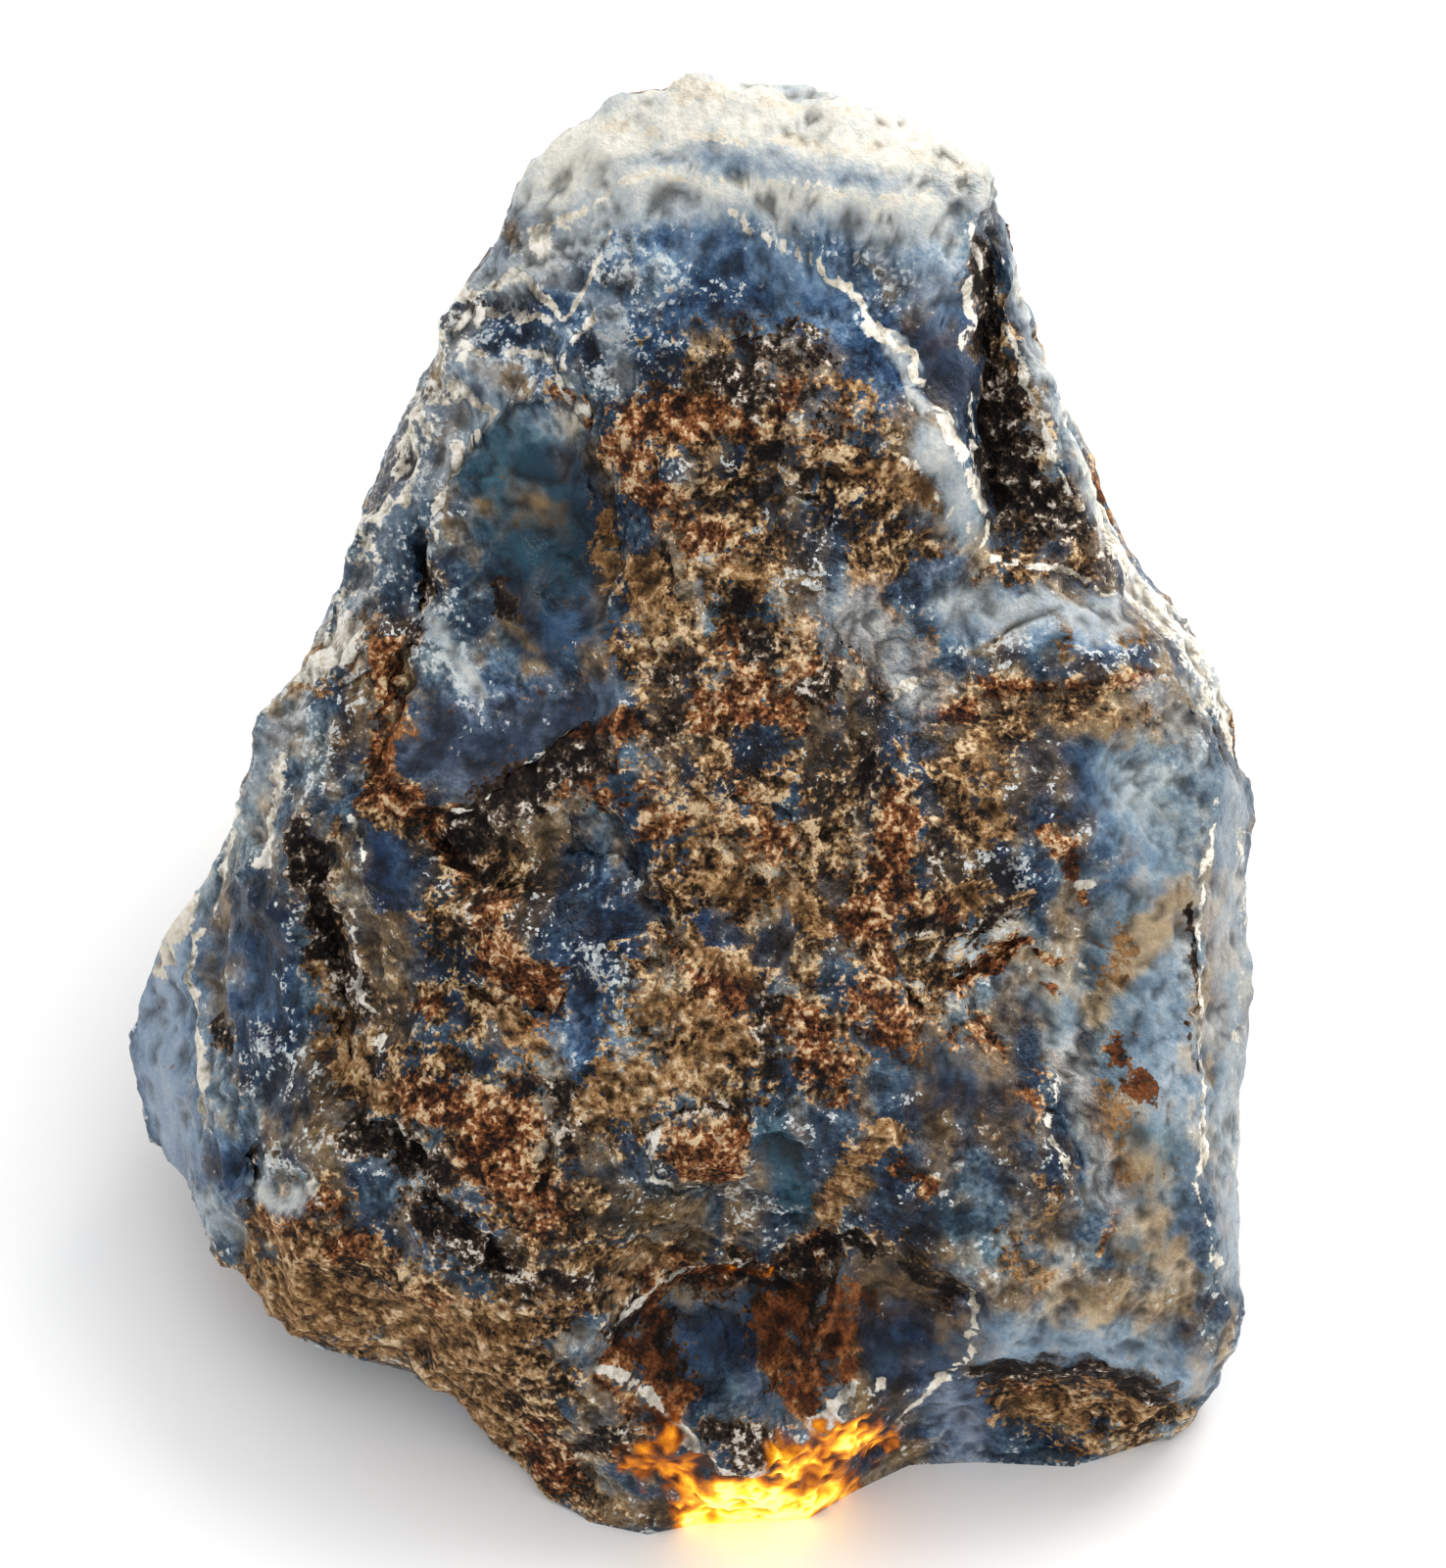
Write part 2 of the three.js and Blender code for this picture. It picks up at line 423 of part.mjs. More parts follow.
function lumpShift({ at, radius, height }, across, up) {
  return height * fadeOut(Math.hypot(across - at[0], up - at[1]), radius);
}

function gullyDepth(rows, across, up) {
  for (let i = 1; i < rows.length; i += 1) {
    const [high, low] = [rows[i - 1], rows[i]];
    if (up > high[0] || up <= low[0]) continue;
    const share = (high[0] - up) / (high[0] - low[0]);
    const [begins, foot, ends, depth] = [1, 2, 3, 4].map(
      (n) => THREE.MathUtils.lerp(high[n], low[n], share));
    const inward = (across - begins) / (foot - begins);
    const outward = (ends - across) / (ends - foot);
    return depth * Math.max(0, Math.min(inward, outward));
  }
  return 0;
}

function weathering(across, up) {
  const shares = WEATHERED.map(({ at, half }) => {
    const out = Math.hypot((across - at[0]) / half[0], (up - at[1]) / half[1]);
    return THREE.MathUtils.clamp((WEATHER_ENDS - out) / WEATHER_FADE, 0, 1);
  });
  return Math.max(...shares);
}

// How far weathering, ledges, lumps and the notch move a point of the front, proud of the
// plain facets.
function frontRelief(point) {
  const { across, up, proud } = toFace(point);
  const front = THREE.MathUtils.clamp((proud - FRONT_LIMIT) / FRONT_FADE, 0, 1);
  if (front === 0) return 0;
  const heave = HEAVE_HEIGHT * weathering(across, up) * noiseAt(point, HEAVE_SIZE);
  const ledges = LEDGES.reduce((sum, ledge) => sum + ledgeShift(ledge, across, up), 0);
  const lumps = LUMPS.reduce((sum, lump) => sum + lumpShift(lump, across, up), 0);
  const depths = Object.values(GULLIES).map((rows) => gullyDepth(rows, across, up));
  const gullies = Math.max(...depths);
  return front * (heave + ledges + lumps) - gullies;
}

function scoopedDistance(distance, direction) {
  let shaped = distance;
  for (const { at, radius } of SCOOPS) {
    shaped = cutByScoop(shaped, direction, fromFace(at), radius);
  }
  for (const { at, facing, radius, bite } of BACK_SCOOPS) {
    const out = new THREE.Vector3(...facing).normalize();
    const centre = new THREE.Vector3(...at).addScaledVector(out, radius - bite);
    shaped = cutByScoop(shaped, direction, centre, radius);
  }
  return shaped;
}

// A point of the finished surface. Where the stone would go below the floor, it is broken
// off flat: the base is level, and every point of it lies at height zero.
function surfacePoint(distance, direction) {
  const onBase = direction.z < 0 ? HEART.z / -direction.z : Infinity;
  if (distance >= onBase - BASE_SNAP) {
    const point = direction.clone().multiplyScalar(onBase).add(HEART);
    return point.setZ(0);
  }
  const shaped = Math.min(scoopedDistance(distance, direction), onBase);
  const point = direction.clone().multiplyScalar(shaped).add(HEART);
  const aboveBase = THREE.MathUtils.clamp(point.z / BASE_FADE, 0, 1);
  point.addScaledVector(direction, aboveBase * GRAIN_HEIGHT * noiseAt(point, GRAIN_SIZE));
  point.addScaledVector(PROUD, aboveBase * frontRelief(point));
  return point.z < BASE_SNAP ? point.setZ(0) : point;
}

// ---- Filling ---------------------------------------------------------------------------------

function spacingAt(point) {
  if (point.z < BASE_SNAP) return BASE_SPACING;
  return toFace(point).proud > FRONT_LIMIT ? FRONT_SPACING : BACK_SPACING;
}

// Keeps points apart, using buckets as wide as the widest spacing.
class Spread {
  constructor() {
    this.buckets = new Map();
  }

  key(point) {
    return [point.x, point.y, point.z].map((value) => Math.floor(value / BASE_SPACING));
  }

  add(point) {
    const key = this.key(point).join();
    if (!this.buckets.has(key)) this.buckets.set(key, []);
    this.buckets.get(key).push(point);
  }

  isClear(point, spacing) {
    const [kx, ky, kz] = this.key(point);
    for (let x = kx - 1; x <= kx + 1; x += 1) {
      for (let y = ky - 1; y <= ky + 1; y += 1) {
        for (let z = kz - 1; z <= kz + 1; z += 1) {
          const near = this.buckets.get([x, y, z].join()) ?? [];
          if (near.some((other) => other.distanceTo(point) < spacing)) return false;
        }
      }
    }
    return true;
  }
}

function randomDirection(random) {
  const z = random() * 2 - 1;
  const turn = random() * Math.PI * 2;
  const ring = Math.sqrt(1 - z * z);
  return new THREE.Vector3(ring * Math.cos(turn), ring * Math.sin(turn), z);
}

function controlPoints() {
  const front = Object.values(FRONT_LINES).map((line) => line.map(fromFace));
  const asPoints = (list) => list.map((xyz) => new THREE.Vector3(...xyz));
  const back = Object.values(BACK_LINES).map(asPoints);
  const lines = [...front, ...back, asPoints(BASE_EDGE)];
  const along = lines.flatMap((line) => alongLine(line, RIDGE_STEP));
  return [...along, ...FRONT_CORNERS.map(fromFace), ...asPoints(BACK_CORNERS)];
}

function apart(points, least) {
  const kept = [];
  for (const point of points) {
    if (kept.every((other) => other.distanceTo(point) > least)) kept.push(point);
  }
  return kept;
}

function opalGeometry() {
  const control = apart(controlPoints(), RIDGES_APART);
  const facets = makeSurface(control);
  const directions = control.map((point) => point.clone().sub(HEART).normalize());
  const distances = control.map((point) => point.distanceTo(HEART));
  const spread = new Spread();
  control.forEach((point) => spread.add(point));
  const random = seededRandom(FILL_SEED);
  for (let i = 0; i < CANDIDATES; i += 1) {
    const direction = randomDirection(random);
    const distance = surfaceAlong(facets, direction);
    if (distance === null) continue;
    const point = direction.clone().multiplyScalar(distance).add(HEART);
    if (spread.isClear(point, spacingAt(point))) {
      spread.add(point);
      directions.push(direction);
      distances.push(distance);
    }
  }
  const points = directions.map((direction, i) => surfacePoint(distances[i], direction));
  const geometry = new THREE.BufferGeometry().setFromPoints(points);
  geometry.setIndex(triangulateDirections(directions).flat());
  return geometry;
}

// Puts the middle of the stone's plan over the origin, with its base at height zero.
function centreOnBase(geometry) {
  geometry.computeBoundingBox();
  const middle = geometry.boundingBox.getCenter(new THREE.Vector3());
  geometry.translate(-middle.x, -middle.y, 0);
  return geometry;
}

const stone = new THREE.Group();
const opal = new THREE.Mesh(
  centreOnBase(opalGeometry()),
  new THREE.MeshStandardMaterial({ color: 0x3f6484, roughness: 0.35, metalness: 0 }),
);
opal.name = 'opal';
stone.add(opal);

export default stone;
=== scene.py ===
"""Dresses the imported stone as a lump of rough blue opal: fine fracture relief and its finish."""

import math

import bmesh
import bpy
import numpy as np
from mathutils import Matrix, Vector


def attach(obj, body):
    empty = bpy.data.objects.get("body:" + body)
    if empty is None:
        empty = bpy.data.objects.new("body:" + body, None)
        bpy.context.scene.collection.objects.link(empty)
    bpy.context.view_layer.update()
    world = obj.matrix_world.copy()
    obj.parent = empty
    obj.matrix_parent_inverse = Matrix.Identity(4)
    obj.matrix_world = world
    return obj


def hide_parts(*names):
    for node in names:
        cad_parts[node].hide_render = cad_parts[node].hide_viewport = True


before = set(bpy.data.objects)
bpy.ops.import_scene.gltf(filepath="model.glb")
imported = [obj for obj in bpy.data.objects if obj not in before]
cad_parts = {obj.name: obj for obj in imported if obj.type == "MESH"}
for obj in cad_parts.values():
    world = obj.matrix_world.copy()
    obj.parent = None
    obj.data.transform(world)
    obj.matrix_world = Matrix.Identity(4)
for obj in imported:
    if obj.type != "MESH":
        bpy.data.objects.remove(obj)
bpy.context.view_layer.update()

# ---- Frames ---------------------------------------------------------------------------------
# The broad front of the stone leans back. Features on it are placed in a leaning frame, in
# millimetres: across (to the right), up the lean, and proud of it (out of the stone).

MM = 0.001
LEAN = math.radians(50)
# Where the row frame's origin stands in the upright frame that the leaning one turns from.
PLAN_MIDDLE = np.array([-1.6726, 30.2255, 0.0])
AXES = np.array([
    [1.0, 0.0, 0.0],
    [0.0, math.sin(LEAN), math.cos(LEAN)],
    [0.0, -math.cos(LEAN), math.sin(LEAN)],
])
PROUD = np.array([0.0, 0.0, 1.0])


def to_face(metres):
    """Row-frame metres to leaning-frame millimetres."""
    return (np.asarray(metres) / MM + PLAN_MIDDLE) @ AXES.T


def from_face(face):
    """Leaning-frame millimetres to row-frame metres."""
    return (np.asarray(face) @ AXES - PLAN_MIDDLE) * MM


def smooth_step(value, low, high):
    """Zero at `low`, one at `high` and smooth between them, whichever of the two is greater."""
    part = np.clip((value - low) / (high - low), 0.0, 1.0)
    return part * part * (3.0 - 2.0 * part)


# ---- Noise ----------------------------------------------------------------------------------

LATTICE_PRIMES = (374761393, 668265263, 1442695041)
SEED_PRIME = 974634777
MIX_PRIME = 1274126177
WORD = 0xFFFFFFFF
TEN_BITS = 1023
BYTE = 255
NOISE_GAIN = 1.3
LUMPS_FINER = 2.2
LUMPS_FINE_SHARE = 0.6
TREADS_GAIN = 0.55
RISER_STARTS = 0.75
TREAD_HEIGHT = 0.4
CELL_LEVELS = 0.35
FARTHEST = 9.0


def lattice_hash(cell, seed):
    """One number below 2**32 for each lattice point."""
    mixed = sum(part * prime for part, prime in zip(cell, LATTICE_PRIMES)) + seed * SEED_PRIME
    mixed = mixed & WORD
    mixed = (mixed ^ (mixed >> 13)) * MIX_PRIME & WORD
    return mixed ^ (mixed >> 16)


def lattice_gradient(cell, seed):
    """Three numbers from -1 to 1 for each lattice point."""
    mixed = lattice_hash(cell, seed)
    return [((mixed >> shift) & TEN_BITS) / (TEN_BITS / 2) - 1.0 for shift in (0, 10, 20)]


def noise(points, size, seed):
    """Smooth noise of about -1 to 1, with features `size` across."""
    scaled = points.T / size
    cell = np.floor(scaled).astype(np.int64)
    part = scaled - cell
    fade = part ** 3 * (part * (part * 6.0 - 15.0) + 10.0)
    total = np.zeros(points.shape[0])
    for corner in np.ndindex(2, 2, 2):
        step = np.array(corner)[:, None]
        gradient = lattice_gradient(cell + step, seed)
        slope = sum(gradient[axis] * (part[axis] - corner[axis]) for axis in range(3))
        weight = np.prod(np.where(step == 1, fade, 1.0 - fade), axis=0)
        total += weight * slope
    return total * NOISE_GAIN


def cloud(points, size, seed, octaves=4, gain=0.5):
    """Noise with finer and finer detail added."""
    total = np.zeros(points.shape[0])
    strength = 1.0
    for octave in range(octaves):
        total += strength * noise(points, size / 2 ** octave, seed + octave)
        strength *= gain
    return total


def lumps(points, size, seed):
    """Rounded lumps with sharp creases between them, from zero in a crease to about one."""
    coarse = np.abs(noise(points, size, seed))
    return coarse + LUMPS_FINE_SHARE * np.abs(noise(points, size / LUMPS_FINER, seed + 1))


def terraces(points, size, levels, seed):
    """Gently leaning treads with short sharp risers between them, about -0.35 to 0.4 high."""
    climb = levels * cloud(points, size, seed, 4, TREADS_GAIN)
    tread = np.floor(climb)
    return tread + smooth_step(climb - tread, RISER_STARTS, 1.0) - climb + TREAD_HEIGHT


def nearest_cells(points, size, seed):
    """Breaks space into cells of about `size`. Gives each point's height on its cell's own
    tilted plane, its cell's tone and kind from 0 to 1, and its distance from the cell's rim."""
    scaled = points.T / size
    cell = np.floor(scaled).astype(np.int64)
    nearest = np.full(points.shape[0], FARTHEST)
    second = np.full(points.shape[0], FARTHEST)
    height, tone, kind = np.zeros((3, points.shape[0]))
    for corner in np.ndindex(3, 3, 3):
        near = cell + np.array(corner)[:, None] - 1
        mixed = lattice_hash(near, seed)
        gap = [scaled[axis] - near[axis] - ((mixed >> (10 * axis)) & TEN_BITS) / TEN_BITS
               for axis in range(3)]
        distance = np.sqrt(sum(part ** 2 for part in gap))
        tilt = lattice_gradient(near, seed + 1)
        level = ((mixed >> 5) & BYTE) / (BYTE / 2) - 1.0
        closer = distance < nearest
        on_plane = sum(part * slope for part, slope in zip(gap, tilt)) + CELL_LEVELS * level
        height = np.where(closer, on_plane, height)
        tone = np.where(closer, ((mixed >> 7) & BYTE) / BYTE, tone)
        kind = np.where(closer, ((mixed >> 16) & BYTE) / BYTE, kind)
        second = np.where(closer, nearest, np.minimum(second, distance))
        nearest = np.where(closer, distance, nearest)
    return height, tone, kind, second - nearest


# ---- The stone's mesh -------------------------------------------------------------------------

# The copy: how near points of the solid are merged, in metres, and how often it is divided.
MERGE_WITHIN = 1e-6
DIVISIONS = 2
RELAX_SHARE = 0.5
# The base: how high its points may lie, and the heights between which shaping fades in.
BASE_BAND = 0.02
BASE_FADE = (0.1, 1.6)
# The front: how often the facing is evened out, and where the front starts and is whole.
FACING_EVENED = 12
FRONT_STARTS = -0.15
FRONT_WHOLE = 0.15


def fine_copy(node):
    """A closed copy of the solid's mesh, divided to a fine triangle mesh."""
    mesh = bpy.data.meshes.new("opal_stone")
    work = bmesh.new()
    work.from_mesh(node.data)
    bmesh.ops.remove_doubles(work, verts=work.verts, dist=MERGE_WITHIN)
    for _ in range(DIVISIONS):
        bmesh.ops.subdivide_edges(work, edges=work.edges, cuts=1, use_grid_fill=True)
    bmesh.ops.triangulate(work, faces=work.faces)
    work.to_mesh(mesh)
    work.free()
    return mesh


class Surface:
    """The stone's points in the leaning frame, with what shaping them needs. Its `height` is
    what each point stood at before shaping, and its `front` is one where the surface faces out
    of the lean and fades to zero behind it."""

    def __init__(self, mesh):
        self.mesh = mesh
        count = len(mesh.vertices)
        flat = np.empty(count * 3)
        mesh.vertices.foreach_get("co", flat)
        self.points = to_face(flat.reshape(-1, 3))
        corners = np.empty(len(mesh.polygons) * 3, dtype=np.int64)
        mesh.polygons.foreach_get("vertices", corners)
        self.faces = corners.reshape(-1, 3)
        sides = [self.faces[:, pair] for pair in ([0, 1], [1, 2], [2, 0])]
        self.edges = np.unique(np.sort(np.vstack(sides), axis=1), axis=0)
        self.degree = np.bincount(self.edges.ravel(), minlength=count)
        self.height = from_face(self.points)[:, 2] / MM
        self.on_base = self.height < BASE_BAND
        self.front = self.find_front()

    def find_front(self):
        facing = np.where(self.on_base, 0.0, self.normals()[:, 2])
        for _ in range(FACING_EVENED):
            facing = self.neighbour_mean(facing)
        return smooth_step(facing, FRONT_STARTS, FRONT_WHOLE)

    def neighbour_mean(self, values):
        first, second = self.edges.T
        count = len(self.degree)
        if values.ndim == 1:
            total = np.bincount(first, values[second], count)
            total += np.bincount(second, values[first], count)
            return total / self.degree
        return np.stack([self.neighbour_mean(column) for column in values.T], axis=1)

    def normals(self):
        a, b, c = (self.points[self.faces[:, i]] for i in range(3))
        across = np.cross(b - a, c - a)
        total = np.zeros_like(self.points)
        for corner in range(3):
            for axis in range(3):
                total[:, axis] += np.bincount(
                    self.faces[:, corner], across[:, axis], len(self.points))
        return total / np.maximum(np.linalg.norm(total, axis=1, keepdims=True), 1e-12)

    def relax(self):
        """Evens the surface out a little, leaving the base level."""
        moved = self.neighbour_mean(self.points) - self.points
        moved[self.on_base] = 0.0
        self.points += RELAX_SHARE * moved

    def shift(self, amount, direction=None):
        """Moves points out along their normals, or along one direction; the base stays."""
        way = self.normals() if direction is None else direction
        fade = smooth_step(self.height, *BASE_FADE)
        self.points += way * (amount * fade)[:, None]

    def bend(self):
        """How convex the surface is: above zero on ridges, below it in hollows."""
        gap = self.points - self.neighbour_mean(self.points)
        return np.sum(gap * self.normals(), axis=1)

    def write(self):
        """Puts the shaped points into the mesh, with the base flat on the floor."""
        metres = from_face(self.points)
        metres[self.on_base, 2] = 0.0
        self.mesh.vertices.foreach_set("co", metres.ravel())
        self.mesh.update()

    def paint(self, name, values):
        """Keeps one number for each point, which the material reads by this name."""
        layer = self.mesh.attributes.new(name, "FLOAT", "POINT")
        layer.data.foreach_set("value", np.ascontiguousarray(values, dtype=np.float32))


# ---- Lines on the front -----------------------------------------------------------------------
# Lines that more than one form or finish follows, as [across, up].

TOP_CREST = [(0.4, 66.9), (1.9, 65.8), (4.2, 64.8), (6.7, 62.7), (7.7, 61.0), (9.8, 59.5),
             (10.1, 58.3)]
LUMP_TOP = [(-14.0, 62.6), (-11.1, 64.0), (-9.6, 63.5), (-8.5, 61.9)]
LUMP_SEAM = [(-13.4, 59.8), (-9.6, 59.6), (-7.7, 57.5), (-6.7, 56.6)]
HOLLOW_GLINT = [(-9.9, 55.9), (-7.9, 56.4)]
MILKY_SLIVER = [(10.6, 55.0), (11.4, 52.8), (12.2, 51.2)]
SLATE_TOP = [(-12.0, 43.2), (-9.8, 43.0)]
SLATE_FACET = [(-15.4, 39.6), (-12.4, 38.6), (-9.6, 40.6), (-7.0, 41.6)]
RECESS_BLUE = [(-17.1, 34.2), (-17.1, 32.6)]
BULGE_SHOULDER = [(-26.0, 35.4), (-28.2, 31.4), (-29.6, 28.6)]
BULGE_FACE = [(-29.0, 29.6), (-29.6, 25.0), (-28.6, 19.0)]
CHIP_BLUE = [(-25.8, 18.6), (-25.4, 17.8)]
CENTRE_BLUE = [(-0.8, 31.2), (0.0, 30.2)]
LOW_BLUE = [(-7.8, 28.6), (-7.4, 25.4), (-6.6, 23.2)]
PALE_SHARD = [(10.4, 27.9), (13.0, 29.4), (15.0, 31.0)]
RIGHT_GLINT = [(17.2, 27.4), (17.2, 24.4)]
RIGHT_STRIP = [(26.0, 38.6), (25.9, 30.0), (25.9, 22.0), (26.4, 13.0)]
GREEN_LENS = [(3.2, 20.4), (3.6, 17.4)]
SCOOP_CORNER = [(8.0, 13.4), (11.0, 11.6)]
SCOOP_BLUE = [(-2.2, 8.8), (0.6, 8.8)]
LOWER_LIP = [(14.4, 9.2), (19.0, 9.0), (24.0, 7.8)]
LEFT_FOOT = [(-14.0, 6.8), (-11.2, 3.6)]

# What pushes a form about: the noise's gain, and what sets its push up the lean apart.
WARP_GAIN = 0.6
WARP_UP_SEED = 31


def beside(line, across, up):
    """Distance from a line of [across, up] points, the side (left above zero), and how far
    the nearest place is from the line's nearer end."""
    best = np.full(across.shape, np.inf)
    side = np.zeros(across.shape)
    along = np.zeros(across.shape)
    walked = 0.0
    for (ax, ay), (bx, by) in zip(line, line[1:]):
        length = math.hypot(bx - ax, by - ay)
        dx, dy = (bx - ax) / length, (by - ay) / length
        part = np.clip((across - ax) * dx + (up - ay) * dy, 0.0, length)
        gap = np.hypot(across - ax - dx * part, up - ay - dy * part)
        turn = np.sign(dx * (up - ay) - dy * (across - ax))
        closer = gap < best
        side = np.where(closer, turn, side)
        along = np.where(closer, walked + part, along)
        best = np.where(closer, gap, best)
        walked += length
    return best, side, np.minimum(along, walked - along)


def warped(points, size, reach, seed):
    """The across and up of points, pushed about so that what is drawn there has a broken edge."""
    return (points[:, 0] + reach * cloud(points, size, seed, 4, WARP_GAIN),
            points[:, 1] + reach * cloud(points, size, seed + WARP_UP_SEED, 4, WARP_GAIN))


# ---- Ledges, crests and ripples ---------------------------------------------------------------

# Steps in the front: how far the surface drops (on the line's left hand above zero, else on
# its right), how far the drop takes to fade out, and the line, as [across, up].
LEDGES = {
    "slate_edge": (-1.1, 3.0, [(-18.1, 39.0), (-17.5, 38.1), (-16.1, 37.4), (-14.6, 36.6),
                               (-13.4, 36.4), (-12.6, 37.4), (-11.0, 38.9), (-9.2, 39.6),
                               (-7.8, 41.0), (-6.4, 41.7)]),
    "nodule_edge": (-0.9, 1.6, [(-14.2, 35.6), (-12.4, 33.8), (-10.8, 33.2), (-9.2, 33.6),
                                (-7.8, 35.2), (-8.2, 36.8)]),
    "blue_arc": (0.7, 1.8, [(-8.5, 33.8), (-6.4, 34.6), (-4.5, 33.0), (-3.3, 31.4),
                            (-3.3, 29.9), (-4.6, 28.4)]),
    "brown_lobe": (-0.9, 2.0, [(-15.4, 28.3), (-12.8, 28.0), (-11.3, 26.9), (-8.5, 26.5),
                               (-8.2, 28.8)]),
    "crest_right": (0.9, 2.4, TOP_CREST[3:] + [(11.1, 56.8), (11.7, 55.8), (12.6, 53.1),
                                               (13.4, 51.0)]),
    "crest_left": (-0.6, 2.4, TOP_CREST[:4]),
    "milky_chip": (-0.35, 1.0, [(9.0, 57.0), (10.2, 57.2), (11.0, 56.6)]),
    "scoop_rim": (-1.3, 3.4, [(-6.8, 9.0), (-4.9, 11.4), (-1.1, 13.3), (3.7, 15.0), (5.8, 15.2),
                              (7.6, 15.8)]),
    "scoop_right": (-0.9, 2.4, [(7.6, 15.8), (8.9, 14.6), (10.0, 12.9), (12.7, 12.0),
                                (13.4, 10.8)]),
    "right_fold": (0.6, 3.6, [(18.6, 31.0), (18.4, 26.8), (17.7, 23.4), (16.7, 21.1),
                              (17.4, 18.8), (18.6, 16.0), (18.6, 13.6)]),
    "sliver_foot": (-1.0, 1.3, [(9.2, 28.2), (10.4, 26.8), (12.6, 28.2), (15.6, 31.0)]),
    "sliver_head": (0.6, 1.2, [(8.9, 29.0), (11.0, 30.0), (13.4, 30.6), (15.4, 31.6)]),
    "recess_ridge": (-0.9, 1.4, [(-19.4, 35.8), (-18.6, 33.2), (-19.2, 30.4), (-19.0, 27.6),
                                 (-17.8, 24.8), (-17.2, 22.4)]),
    "bulge_seam": (-1.0, 1.6, [(-24.9, 36.5), (-25.9, 32.6), (-26.9, 30.0), (-27.4, 28.0),
                               (-27.0, 23.7), (-26.7, 20.0)]),
    "groove_wall": (-0.8, 1.0, [(-15.3, 51.0), (-15.2, 46.0), (-16.4, 43.4), (-17.8, 40.4)]),
    "hollow_rim": (-0.9, 3.2, [(-14.8, 52.6), (-13.2, 55.2), (-10.9, 57.4), (-8.4, 57.8),
                               (-6.7, 56.4), (-5.5, 53.0), (-5.1, 49.0), (-6.0, 46.0)]),
    "grey_patch": (-0.6, 1.8, [(4.8, 47.2), (6.4, 45.4), (8.2, 43.8), (9.0, 42.2), (9.6, 40.6)]),
    "lens_top": (0.6, 1.6, [(-3.9, 19.4), (-3.2, 21.0), (-1.6, 21.9), (0.4, 21.4), (2.0, 20.2)]),
    "lens_foot": (-0.7, 1.4, [(-3.6, 20.0), (-2.4, 18.2), (-0.2, 17.6), (2.2, 17.4)]),
    "centre_arc": (-0.6, 2.0, [(-1.6, 52.0), (0.6, 53.6), (4.0, 53.4), (6.4, 51.2), (6.8, 48.4)]),
    "centre_low": (-0.6, 1.8, [(-2.6, 36.2), (0.2, 37.6), (3.4, 36.6), (4.4, 33.6)]),
    "band_foot": (-0.6, 2.4, [(-6.0, 57.6), (-2.4, 59.2), (0.2, 60.8), (2.6, 62.2),
                              (6.0, 61.8)]),
    "left_lump_high": (-0.7, 1.4, LUMP_TOP),
    "left_lump_low": (-0.7, 1.4, [(-14.8, 60.8), (-12.1, 61.9), (-9.2, 61.4), (-8.4, 60.4)]),
    "left_seam": (0.5, 1.4, LUMP_SEAM),
    "flank_step": (-0.7, 1.6, [(-20.6, 43.0), (-18.6, 43.8), (-17.0, 44.2), (-15.6, 45.6)]),
    "flank_fold": (-0.6, 1.8, [(-17.6, 52.0), (-18.6, 48.6), (-20.6, 44.8), (-22.8, 40.4)]),
    "rust_field": (-0.6, 2.0, [(-17.0, 23.4), (-13.6, 23.4), (-10.4, 22.4), (-8.6, 20.0),
                               (-9.0, 17.0)]),
    "cavity_high": (-1.2, 1.5, [(-19.6, 20.8), (-17.4, 20.8), (-15.6, 19.8), (-14.2, 18.4)]),
    "cavity_low": (-1.0, 1.6, [(-15.6, 17.4), (-13.2, 16.4), (-11.6, 15.0), (-10.6, 12.6)]),
    "chip_seam": (-0.6, 1.2, [(-27.0, 17.4), (-25.2, 17.0), (-23.8, 16.2), (-23.4, 14.0)]),
    "shelf_step": (-0.5, 1.6, [(11.6, 46.0), (13.2, 45.0), (15.2, 46.6), (18.6, 47.8)]),
    "low_right": (0.5, 2.4, [(13.4, 21.4), (10.6, 20.4), (8.4, 18.8)]),
    "radial_a": (0.4, 1.6, [(9.4, 17.6), (12.0, 18.6), (15.6, 18.4)]),
    "radial_b": (-0.4, 1.6, [(9.6, 16.4), (12.0, 15.2), (14.4, 15.8)]),
}
LEDGE_GAIN = 1.3

